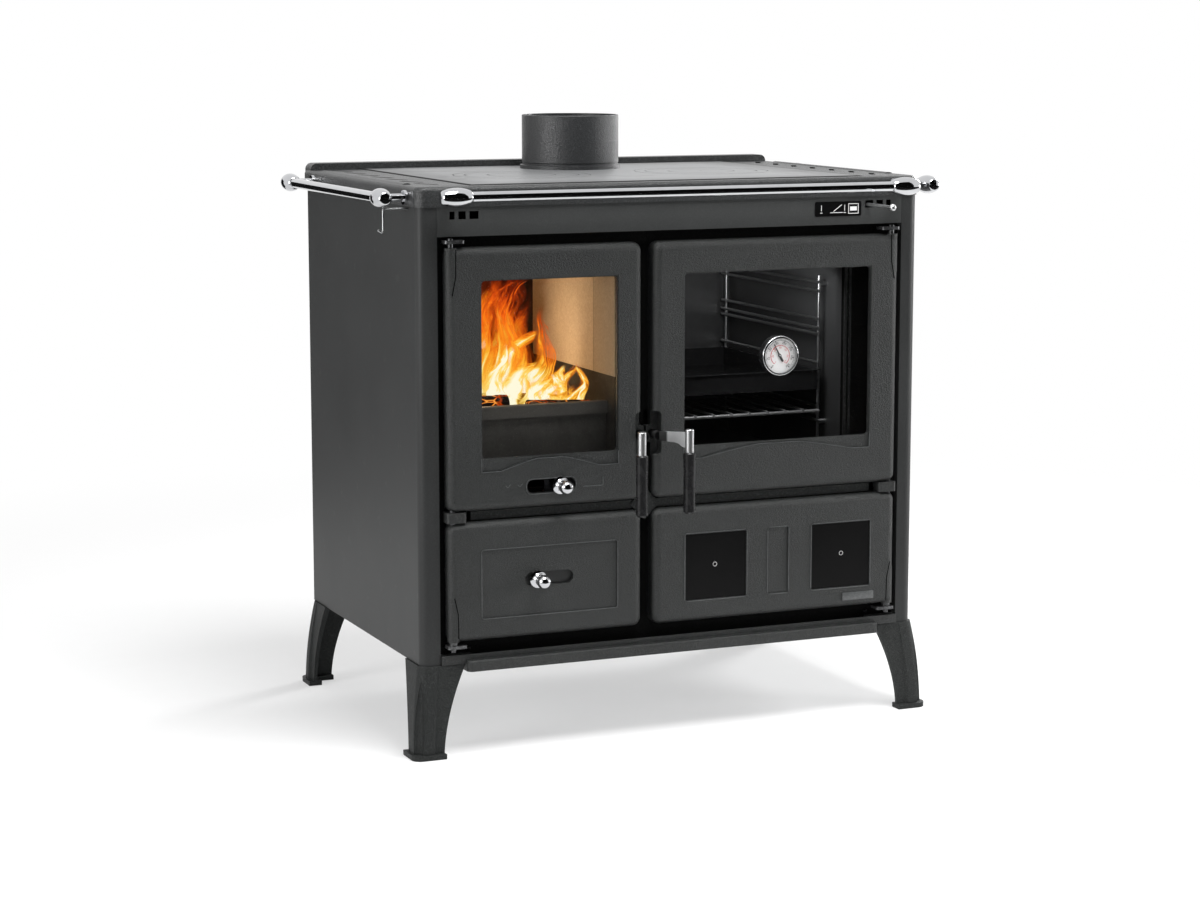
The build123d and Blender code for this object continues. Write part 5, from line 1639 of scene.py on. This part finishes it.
MIDDLE_FLAMES = (
    (
        168.0,
        (
            *((-195, 506, 34), (-188, 545, 34), (-191, 580, 29), (-206, 612, 22)),
            *((-218, 644, 18), (-209, 672, 15), (-191, 693, 10), (-175, 708, 5)),
        ),
    ),
    (
        162.0,
        (
            *((-172, 505, 36), (-165, 536, 36), (-152, 562, 30), (-148, 590, 25)),
            *((-157, 616, 19), (-161, 638, 12), (-152, 666, 4)),
        ),
    ),
    (172.0, ((-255, 509, 23), (-257, 556, 25), (-251, 603, 23), (-254, 650, 20), (-246, 692, 13))),
    (
        158.0,
        (
            *((-228, 508, 30), (-223, 539, 29), (-215, 575, 25)),
            *((-199, 601, 19), (-177, 616, 13), (-161, 621, 5)),
        ),
    ),
    (165.0, ((-152, 504, 34), (-134, 523, 24), (-117, 541, 17), (-105, 555, 10), (-99, 569, 3))),
    (160.0, ((-300, 506, 22), (-304, 546, 24), (-298, 586, 22), (-288, 622, 14))),
)
FRONT_FLAMES = (
    (108.0, ((-130, 508, 26), (-117, 526, 20), (-111, 543, 15), (-115, 560, 10), (-126, 572, 4))),
    (102.0, ((-155, 508, 34), (-150, 525, 27), (-156, 543, 19), (-164, 562, 8))),
    (116.0, ((-172, 508, 34), (-160, 534, 28), (-146, 556, 20), (-136, 572, 8))),
    (112.0, ((-235, 512, 37), (-228, 535, 30), (-218, 557, 20), (-202, 571, 12), (-183, 580, 5))),
    (106.0, ((-268, 514, 30), (-265, 540, 30), (-255, 568, 23), (-243, 589, 15), (-239, 612, 7))),
    (98.0, ((-202, 512, 37), (-198, 528, 28), (-188, 543, 18), (-172, 553, 10), (-157, 557, 3))),
    (110.0, ((-300, 510, 20), (-304, 540, 20), (-302, 566, 14), (-296, 590, 6))),
)


@dataclass
class Fire(Assembly):
    """The burning load: logs on coals, and curtains of flame over them."""

    floor: float = 450.0
    x: Range = (-330.0, -100.0)
    depth: Range = (68.0, 352.0)
    coal_count: int = 110
    coal_radius: Range = (5.0, 11.0)
    coal_stretch: tuple[Range, ...] = ((0.8, 1.4), (0.8, 1.2), (0.6, 0.9))
    crown: float = 40.0
    slope: float = 0.55
    seed: int = 7
    bow: float = 9.0
    flame_z: Range = (0.500, 0.715)
    flame_x: Range = (-0.300, -0.100)

    def log(self, start: Point, end: Point, radius: float, seed: float, name: str, finish: Finish) -> None:
        """Make one log.

        Args:
            start: The middle of one end.
            end: The middle of the other.
            radius: Its radius.
            seed: Where its roughness is read.
            name: Its name.
            finish: What it wears.
        """
        first, last = Vector(start), Vector(end)
        length = (last - first).length
        shape = Shape()
        bmesh.ops.create_cone(
            shape.mesh, segments=30, radius1=radius, radius2=radius * 0.86, depth=length, cap_ends=True
        )
        sides = [
            edge for edge in shape.mesh.edges if abs(edge.verts[0].co.z - edge.verts[1].co.z) > length / 2
        ]
        bmesh.ops.subdivide_edges(shape.mesh, edges=sides, cuts=max(int(length / 6.0), 4), use_grid_fill=True)
        ends = [face for face in shape.mesh.faces if len(face.verts) > 4]
        for share in (0.12, 0.45):
            bmesh.ops.inset_region(shape.mesh, faces=ends, thickness=radius * share, depth=0.6)
        bmesh.ops.triangulate(shape.mesh, faces=[face for face in shape.mesh.faces if len(face.verts) > 4])
        for vert in shape.mesh.verts:
            around = math.atan2(vert.co.y, vert.co.x)
            read = Vector((math.cos(around) * 1.6, math.sin(around) * 1.6, vert.co.z / 34.0 + seed))
            ridge = abs(noise.noise(Vector((around * 2.6, vert.co.z / 90.0, seed)))) * 0.16
            swell = 1.0 + 0.16 * noise.noise(read) - ridge + 0.05 * noise.noise(read * 5.0)
            bend = Vector((noise.noise(Vector((seed, vert.co.z / 120.0, 0.0))), 0.0, 0.0)) * radius * 0.3
            vert.co = Vector((vert.co.x * swell, vert.co.y * swell, vert.co.z)) + bend
        aim = (last - first).to_track_quat("Z", "Y").to_matrix().to_4x4()
        shape.moved(Matrix.Translation((first + last) / 2) @ aim)
        shape.piece(name, finish, "cabinet", smooth=75.0)

    def bed(self, source: random.Random) -> None:
        """Make the bed of coals and ash on the grate.

        Args:
            source: Where the coals' places are drawn from.
        """
        heap = Shape()
        bmesh.ops.create_grid(heap.mesh, x_segments=46, y_segments=54, size=0.5, calc_uvs=True)
        width, reach = self.x[1] - self.x[0], self.depth[1] - self.depth[0]
        for vert in heap.mesh.verts:
            rim = min(0.5 - abs(vert.co.x), 0.5 - abs(vert.co.y)) * 2.0
            x = vert.co.x * width + middle_of(self.x)
            depth = vert.co.y * reach + middle_of(self.depth)
            lumps = noise.noise(Vector((x, depth, 0.0)) / 26.0) * 7.0
            lumps += noise.noise(Vector((x, depth, 9.0)) / 9.0) * 3.0
            left = 1.0 - self.slope * (vert.co.x + 0.5)
            crown = self.crown * min(rim * 2.6, 1.0) * left
            vert.co = Vector((x, depth, self.floor + 0.8 + max(crown + lumps * min(rim * 5.0, 1.0), 0.0)))
        rim_edges = [edge for edge in heap.mesh.edges if edge.is_boundary]
        skirt = bmesh.ops.extrude_edge_only(heap.mesh, edges=rim_edges)
        for item in skirt["geom"]:
            if isinstance(item, bmesh.types.BMVert):
                item.co.z = self.floor + 0.1
        heap.piece("fire_bed", Embers("ember_bed", 0.9), "cabinet", smooth=80.0)

        coals = Shape()
        for _ in range(self.coal_count):
            x = source.uniform(self.x[0] + 14.0, self.x[1] - 40.0)
            depth = source.uniform(self.depth[0] + 14.0, self.depth[1] - 30.0)
            radius = source.uniform(*self.coal_radius)
            rise = self.crown * (1.0 - self.slope * (x - self.x[0]) / width)
            height = self.floor + rise + source.uniform(-3.0, 5.0)
            squash = Matrix.Diagonal((*(source.uniform(*span) for span in self.coal_stretch), 1.0))
            turn = Matrix.Rotation(source.uniform(0.0, math.pi), 4, "Z")
            place = Matrix.Translation((x, depth, height)) @ turn @ squash
            made = bmesh.ops.create_icosphere(coals.mesh, subdivisions=2, radius=radius, matrix=place)
            for vert in made["verts"]:
                vert.co += Vector((1.0, 1.0, 1.0)) * noise.noise(vert.co / 6.0) * radius * 0.25
        coals.piece("fire_coals", Embers("ember_coals", 1.8), "cabinet", smooth=35.0)

    def tongue(self, shape: Shape, index: int, depth: float, course: Sequence[Point]) -> None:
        """Add one tongue of flame.

        Args:
            shape: The shape that it is added to.
            index: Its place among the tongues, which sets the stretch of noise that it reads.
            depth: Its depth behind the front plane.
            course: Its middle line as X, height and half width, from its root to its tip.
        """
        line = smooth_course(course, 8)
        uv_map = shape.mesh.loops.layers.uv["UVMap"]
        runs = len(line) - 1
        made = bmesh.ops.create_grid(shape.mesh, x_segments=8, y_segments=runs, size=0.5, calc_uvs=True)
        for face in {face for vert in made["verts"] for face in vert.link_faces}:
            for loop in face.loops:
                loop[uv_map].uv.x += 2.0 * index
        for vert in made["verts"]:
            across = vert.co.x * 2.0
            step = round((vert.co.y + 0.5) * runs)
            point = line[step]
            along = line[min(step + 1, runs)] - line[max(step - 1, 0)]
            side = Vector((along.y, -along.x)).normalized() * point.z * across
            back = depth + self.bow * across * across + 6.0 * math.sin(step * 0.35 + index)
            vert.co = Vector((point.x + side.x, back, point.y + side.y))

    def flames(
        self, name: str, finish: Flame, tongues: Sequence[tuple[float, Sequence[Point]]], first: int
    ) -> None:
        """Make a group of tongues.

        Args:
            name: The group's name.
            finish: The flame on them.
            tongues: Each tongue's depth and course.
            first: The number of the first one.
        """
        shape = Shape()
        for index, (depth, course) in enumerate(tongues, first):
            self.tongue(shape, index, depth, course)
        shape.piece(name, finish, "cabinet", smooth=80.0)

    def make(self) -> None:
        """Lay the coals and the logs, and light them."""
        source = random.Random(self.seed)
        self.bed(source)
        char = CharredWood("burning_log")
        bare = CharredWood("half_burnt_log", glow=0.8, bare=1.0)
        for place, start, end, radius, seed, finish in (
            ("front_left", (-318.0, 90.0, 521.0), (-246.0, 96.0, 522.0), 14.0, 1.3, char),
            ("front", (-216.0, 80.0, 516.0), (-110.0, 84.0, 511.0), 10.0, 5.1, bare),
            ("middle", (-318.0, 176.0, 512.0), (-128.0, 148.0, 503.0), 23.0, 8.4, char),
            ("back", (-310.0, 246.0, 514.0), (-150.0, 272.0, 508.0), 25.0, 2.7, bare),
        ):
            self.log(start, end, radius, seed, f"fire_log_{place}", finish)
        for place, glow, body, tongues, first in (
            ("far", 0.8, 1.0, FAR_FLAMES, 40),
            ("back", 1.06, 0.95, BACK_FLAMES, 0),
            ("middle", 1.08, 0.95, MIDDLE_FLAMES, 10),
            ("front", 1.1, 0.95, FRONT_FLAMES, 24),
        ):
            flame = Flame(f"flame_{place}", *self.flame_z, *self.flame_x, glow, body)
            self.flames(f"flames_{place}", flame, tongues, first)


@dataclass
class Oven(Assembly):
    """The oven with its wires and tray, and the store under it."""

    def dress(self) -> None:
        """Dress the oven and the store."""
        self.wear(OVEN_ENAMEL, "oven_box")
        self.wear(BOX_PAINT, "wood_box")
        self.wear(BRIGHT_WIRE, "oven_racks")
        self.wear(GRID_WIRE, "oven_grid")
        self.wear(TRAY_ENAMEL, "baking_tray")


@dataclass
class Doors(Assembly):
    """The four doors with their panes, seals, slides and inlays."""

    bead_width: float = 1.1
    bead_rise: float = 0.5
    apron_bottom: float = 433.0
    apron_crown: float = 449.0
    apron_flat: float = 31.0
    apron_top: float = 453.0
    firebox_apron: Range = (-326.9, -103.9)
    oven_apron: Range = (6.0, 330.6)
    knob_joint: float = -30.8
    knob_ball: float = 10.9
    knob_x: Range = (-201.0, -238.0)
    knob_z: Range = (406.5, 264.5)
    knob_foot: tuple[Range, ...] = ((0.0, -13.7), (11.3, -13.7), (13.3, -15.7), (13.3, -17.7))
    knob_neck: tuple[Range, ...] = ((10.3, -18.7), (6.1, -23.7), (4.6, -28.0))
    air_slot: tuple[Range, Range] = ((-255.0, -174.0), (395.0, 418.0))
    ticks: Range = (-285.0, -265.5)
    bracket_foot: Range = (-162.6, 401.6)
    bracket_corner: Range = (-129.5, 414.5)
    ash_frame: tuple[Range, Range] = ((-328.0, -105.0), (209.0, 315.0))
    store_frames: tuple[Range, ...] = ((8.7, 116.2), (152.2, 189.4), (228.9, 335.4))
    store_z: Range = (208.4, 315.6)
    frame_corner: float = 4.0
    strip: tuple[Range, Range] = ((286.0, 342.0), (187.5, 200.0))
    groove_x: Point = (371.5, 366.0, 365.4)
    groove_upper: Range = (700.0, 768.0)
    groove_lower: Range = (244.0, 182.0)
    rings: tuple[Range, ...] = ((61.1, 263.9), (283.3, 264.6))
    ring_radius: float = 3.2

    def dress(self) -> None:
        """Dress the castings, panes, ropes and slides."""
        self.wear(CAST_PAINT, "firebox_door", "oven_door", "ash_door", "wood_door")
        self.wear(INLAY_PAINT, "wood_door_inlays")
        self.wear(SEAL_ROPE, "firebox_door_seal", "oven_door_seal")
        self.wear(FIREBOX_PANE, "firebox_glass")
        self.wear(OVEN_PANE, "oven_glass")
        self.wear(BLACK_SLIDE, "firebox_glass_clips", "oven_glass_clips", "firebox_air_slide")
        self.wear(SLIDE_PAINT, "ash_air_slide")

    def air_knob(self, name: str, x: float, z: float, body: str, node: str) -> None:
        """Turn an air slide's knob: a disc, a cone, a neck and a ball.

        Args:
            name: Its name.
            x: Its place across.
            z: Its height.
            body: The body that it moves with.
            node: The node whose place it takes.
        """
        neck = self.knob_neck[-1][0]
        middle = self.knob_joint - math.sqrt(self.knob_ball**2 - neck**2)
        start, steps = math.asin(neck / self.knob_ball), 14
        ball = []
        for step in range(steps + 1):
            angle = start + (math.pi - start) * step / steps
            ball.append((self.knob_ball * math.sin(angle), middle + self.knob_ball * math.cos(angle)))
        ball[-1] = (0.0, ball[-1][1])
        turned = Shape().turned((x, 0.0, z), Axis.BACK, [*self.knob_foot, *self.knob_neck, *ball], 40)
        made = turned.piece(name, CHROME, body, "chrome_plate", 50.0)
        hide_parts(node)

    def apron(self, x: Range) -> list[Range]:
        """Return the outline of the apron under a window.

        Args:
            x: The apron's range across.

        Returns:
            The outline from the left, along the foot and over the arch, to the right.
        """
        middle = middle_of(x)
        arch = (x[1] - x[0]) / 2 - self.apron_flat
        crown = self.apron_crown
        course = smooth_course(
            [
                (middle - arch, self.apron_bottom, 0.0),
                (middle - arch * 0.36, crown - 1.2, 0.0),
                (middle, crown, 0.0),
                (middle + arch * 0.36, crown - 1.2, 0.0),
                (middle + arch, self.apron_bottom, 0.0),
            ],
            8,
        )
        over = [(point.x, point.y) for point in course]
        sides = [[(end, self.apron_top), (end, self.apron_bottom)] for end in x]
        return [*sides[0], *over, *reversed(sides[1])]

    def highlight_edge(self, shape: Shape, points: Sequence[Range], closed: bool = False) -> Shape:
        """Raise a painted highlight along an edge on the doors' front face.

        Args:
            shape: The shape that it is added to.
            points: Its line, as pairs of X and height.
            closed: Whether it ends where it starts.

        Returns:
            The shape.
        """
        return shape.bead(points, depth_of("firebox_door"), self.bead_width, self.bead_rise, closed)

    def make(self) -> None:
        """Lay painted highlights along the edges of the raised work and on the marks beside the slots, and
        turn the knobs.
        """
        face = depth_of("firebox_door")
        upper = self.highlight_edge(Shape(), self.apron(self.firebox_apron))
        self.highlight_edge(upper, rounded_outline(*self.air_slot, 8.0), True)
        for x in self.ticks:
            upper.bead([(x - 3.6, 410.6), (x, 407.4), (x + 4.0, 412.0)], face, 1.2, self.bead_rise)
        foot, corner = self.bracket_foot, self.bracket_corner
        upper.bead([foot, (corner[0], foot[1]), corner], face, 1.3, self.bead_rise)

        oven = self.highlight_edge(Shape(), self.apron(self.oven_apron))
        ash = self.highlight_edge(Shape(), rounded_outline(*self.ash_frame, self.frame_corner), True)
        store = Shape()
        for x in self.store_frames:
            self.highlight_edge(store, rounded_outline(x, self.store_z, self.frame_corner), True)
        store.block(self.strip[0], (face - 1.2, face + 0.4), self.strip[1], 0.5)
        for shape, door in ((upper, "firebox"), (oven, "oven"), (ash, "ash"), (store, "wood")):
            shape.piece(f"{door}_door_edge_highlights", EDGE_HIGHLIGHT_PAINT, f"{door}_door", "cast_paint")

        # near-black beads in the hinge-side grooves are painted shadow
        for door, side, (low, high) in (
            ("firebox", -1.0, self.groove_upper),
            ("oven", 1.0, self.groove_upper),
            ("ash", -1.0, self.groove_lower),
            ("wood", 1.0, self.groove_lower),
        ):
            heights = (low, low + (high - low) * 0.4, high)
            course = [(side * x, z) for x, z in zip(self.groove_x, heights)]
            groove_shadow = Shape().bead(course, face, 1.5, 0.08)
            groove_shadow.piece(f"{door}_door_groove_shadow", JOINT_SHADOW, f"{door}_door", "cast_paint")

        inlay, reach = depth_of("wood_door_inlays"), self.ring_radius
        marks = Shape()
        for x, z in self.rings:
            ring = rounded_outline((x - reach, x + reach), (z - reach, z + reach), reach - 0.1, 4)
            marks.bead(ring, inlay, 0.6, 0.2, True)
        marks.piece("inlay_rings", INK_PALE, "wood_door", "inlay_black")

        for door, x, z in zip(("firebox", "ash"), self.knob_x, self.knob_z):
            self.air_knob(f"{door}_air_knob_turned", x, z, f"{door}_air", f"{door}_air_knob")


@dataclass
class Handles(Assembly):
    """The two door handles."""

    def dress(self) -> None:
        """Dress the arms, grips and latches."""
        self.wear(HANDLE_METAL, "firebox_handle_arm", "oven_handle_arm")
        self.wear(GRIP_BLACK, "firebox_handle_grip", "oven_handle_grip")
        self.wear(BLACK_SLIDE, "firebox_latch", "oven_latch")


@dataclass
class Thermometer(Assembly):
    """The oven's dial, printed with an outer and an inner scale."""

    x: float = 168.3
    z: float = 586.7
    sweep: float = math.radians(140.0)
    outer: float = 25.0
    inner: float = 16.2
    print_lift: float = 0.12
    ring_width: float = 0.6

    def dress(self) -> None:
        """Dress the case, the dial, the needle and the lens."""
        self.wear(HANDLE_CHROME, "thermometer_case")
        self.wear(DIAL_WHITE, "thermometer_dial")
        self.wear(NEEDLE_BLACK, "thermometer_needle")
        self.wear(DIAL_LENS, "thermometer_lens")

    def around(self, share: float, radius: float) -> tuple[float, float, float]:
        """Return the X, height and turn of a point on the scale.

        Args:
            share: How far it is along the scale, from 0 to 1.
            radius: How far it is from the dial's middle.

        Returns:
            Its X and height, and the turn to the right that stands it upright on the scale.
        """
        turn = -self.sweep + 2.0 * self.sweep * share
        return self.x + radius * math.sin(turn), self.z + radius * math.cos(turn), turn

    def scale(
        self, radius: float, ticks: int, long_every: int, reach: float, width: float, depth: float
    ) -> Shape:
        """Draw one ring of ticks.

        Args:
            radius: Its outer radius.
            ticks: The number of steps along it.
            long_every: Every which tick is a long one.
            reach: How far a long tick reaches inwards.
            width: A long tick's width.
            depth: The depth of the printed face.

        Returns:
            The ticks.
        """
        drawn = Shape()
        for step in range(ticks + 1):
            long = step % long_every == 0
            size = reach if long else reach * 0.5
            half = (width if long else width * 0.6) / 2
            x, z, turn = self.around(step / ticks, radius - size / 2)
            tick = Shape().block((-half, half), (0.0, 0.05), (-size / 2, size / 2))
            drawn.joined(tick.moved(Matrix.Translation((x, depth, z)) @ Matrix.Rotation(turn, 4, "Y")))
        return drawn

    def make(self) -> None:
        """Print the two scales and their figures."""
        face = depth_of("thermometer_dial") - self.print_lift
        black = self.scale(self.outer, 56, 8, 3.2, 1.1, face)
        for index in range(8):
            x, z, turn = self.around(index / 7, self.outer - 5.0)
            black.lettering(str(index * 50), (x, face, z), 5.0, turn)
        black.piece("dial_outer_scale", INK_BLACK, "oven_door", "needle_black")
        red = self.scale(self.inner, 60, 10, 2.0, 0.6, face)
        ring = [self.around(step / 48, self.inner)[:2] for step in range(49)]
        red.bead(ring, face, self.ring_width, 0.02)
        for index in range(7):
            x, z, turn = self.around(index / 6, self.inner - 3.9)
            red.lettering(str(index * 100), (x, face, z), 3.2, turn)
        red.piece("dial_inner_scale", INK_RED, "oven_door", "needle_black")


# ----- Studio -----


@dataclass
class Lamp:
    """A square soft box that looks at a point."""

    name: str
    place: Point
    size: float
    power: float
    aim: Point = (0.0, 0.0, 0.5)
    lights: bool = True
    mirrored: bool = True

    def build(self) -> None:
        """Hang the lamp."""
        light = bpy.data.lights.new(self.name, "AREA")
        light.shape = "SQUARE"
        light.size = self.size
        light.energy = self.power
        holder = bpy.data.objects.new(self.name, light)
        holder.visible_camera = False
        holder.visible_diffuse = self.lights
        holder.visible_glossy = self.mirrored
        holder.location = self.place
        holder.rotation_euler = (Vector(self.aim) - Vector(self.place)).to_track_quat("-Z", "Y").to_euler()
        bpy.context.scene.collection.objects.link(holder)


LAMPS = (
    Lamp("lamp_top", place=(0.2, -1.2, 3.2), size=1.4, power=120.0, mirrored=False),
    Lamp("lamp_gleam", place=(-0.4, -1.2, 3.2), size=1.4, power=85.0, lights=False),
    Lamp("lamp_left", place=(-3.2, -0.9, 1.1), size=1.2, power=44.0),
    Lamp("lamp_right", place=(2.8, -2.0, 1.1), size=1.0, power=40.0, mirrored=False),
    Lamp("lamp_side", place=(3.4, -0.8, 0.8), size=0.9, power=30.0, aim=(0.0, -0.3, 0.5)),
    Lamp("lamp_rim", place=(2.6, 1.6, 1.6), size=0.8, power=66.0, aim=(0.3, 0.0, 0.9)),
    Lamp("lamp_oven", place=(0.15, FRONT_PLANE + 0.05, 0.735), size=0.16, power=1.7, aim=(0.15, 0.1, 0.5)),
)


@dataclass
class Studio:
    """The camera, the soft lamps, the white floor and the world."""

    camera_place: Point = (-1.7632, -4.05135, 1.0899)
    camera_yaw: float = 0.405
    camera_pitch: float = 0.1522
    lens: float = 82.44
    ambient: float = 0.32
    floor_reach: float = 14.0

    def camera(self) -> None:
        """Stand the camera where the picture was taken from."""
        data = bpy.data.cameras.new("camera")
        data.lens = self.lens
        data.sensor_width = 36.0
        data.sensor_fit = "HORIZONTAL"
        data.clip_end = 60.0
        holder = bpy.data.objects.new("camera", data)
        holder.location = self.camera_place
        holder.rotation_euler = (math.pi / 2 - self.camera_pitch, 0.0, -self.camera_yaw)
        bpy.context.scene.collection.objects.link(holder)
        bpy.context.scene.camera = holder

    def world(self) -> None:
        """Show white behind the range and light it with a plain grey sky."""
        world = bpy.data.worlds.new("studio")
        bpy.context.scene.world = world
        world.use_nodes = True
        nodes, links = world.node_tree.nodes, world.node_tree.links
        nodes.clear()
        rays = nodes.new("ShaderNodeLightPath")
        either = nodes.new("ShaderNodeMath")
        either.operation = "MAXIMUM"
        links.new(rays.outputs["Is Camera Ray"], either.inputs[0])
        links.new(rays.outputs["Is Glossy Ray"], either.inputs[1])
        any_of = nodes.new("ShaderNodeMath")
        any_of.operation = "MAXIMUM"
        links.new(either.outputs[0], any_of.inputs[0])
        links.new(rays.outputs["Is Transmission Ray"], any_of.inputs[1])
        strength = nodes.new("ShaderNodeMapRange")
        strength.inputs["To Min"].default_value = self.ambient
        strength.inputs["To Max"].default_value = 1.0
        links.new(any_of.outputs[0], strength.inputs["Value"])
        sky = nodes.new("ShaderNodeBackground")
        sky.inputs["Color"].default_value = (1.0, 1.0, 1.0, 1.0)
        links.new(strength.outputs["Result"], sky.inputs["Strength"])
        links.new(sky.outputs[0], nodes.new("ShaderNodeOutputWorld").inputs["Surface"])

    def board(self, name: str, corners: Sequence[Point], finish: Finish) -> bpy.types.Object:
        """Make a flat stage board.

        Args:
            name: Its name.
            corners: Its four corners, in metres.
            finish: What it wears.

        Returns:
            The board.
        """
        mesh = bmesh.new()
        mesh.faces.new([mesh.verts.new(corner) for corner in corners])
        data = bpy.data.meshes.new(name)
        mesh.to_mesh(data)
        mesh.free()
        made = bpy.data.objects.new(name, data)
        bpy.context.scene.collection.objects.link(made)
        finish.dress(made)
        return made

    def build(self) -> None:
        """Set the studio up."""
        scene = bpy.context.scene
        scene.view_settings.view_transform = "Standard"
        self.camera()
        self.world()
        reach = self.floor_reach
        corners = [(-reach, -reach, 0.0), (reach, -reach, 0.0), (reach, reach, 0.0), (-reach, reach, 0.0)]
        self.board("studio_floor", corners, StudioFloor("studio_floor"))
        for name, corners in (
            ("front", [(-6.0, -5.6, 0.02), (6.0, -5.6, 0.02), (6.0, -5.6, 9.0), (-6.0, -5.6, 9.0)]),
            ("side", [(-1.5, 1.9, 0.0), (-0.6, 1.9, 0.0), (-0.6, 1.9, 1.1), (-1.5, 1.9, 1.1)]),
            ("near", [(-6.0, -5.6, 0.012), (6.0, -5.6, 0.012), (6.0, -1.1, 0.012), (-6.0, -1.1, 0.012)]),
        ):
            card = self.board(f"studio_flag_{name}", corners, StudioFlag("studio_flag"))
            card.visible_camera = card.visible_diffuse = card.visible_shadow = False
        for lamp in LAMPS:
            lamp.build()
        self.glow("fire_glow", (-0.255, FRONT_PLANE + 0.20, 0.60), 1.15, (1.0, 0.78, 0.52))

    def glow(self, name: str, place: Point, power: float, colour: Colour) -> None:
        """Hang a small warm light.

        Args:
            name: Its name.
            place: Where it hangs, in metres.
            power: Its power in watts.
            colour: Its colour.
        """
        light = bpy.data.lights.new(name, "POINT")
        light.energy = power
        light.color = colour
        light.shadow_soft_size = 0.04
        holder = bpy.data.objects.new(name, light)
        holder.visible_camera = False
        holder.location = place
        bpy.context.scene.collection.objects.link(holder)


def main() -> None:
    """Build the studio, then dress and complete each sub-assembly in turn."""
    logging.basicConfig(level=logging.INFO, format="%(name)s: %(message)s")
    Studio().build()
    assemblies: Iterable[Assembly] = (
        Casing(),
        CookTop(),
        Rails(),
        ControlEnd(),
        FireBox(),
        Fire(),
        Oven(),
        Doors(),
        Handles(),
        Thermometer(),
    )
    for assembly in assemblies:
        LOG.info("building %s", type(assembly).__name__)
        assembly.build()


if __name__ == "__main__":
    main()
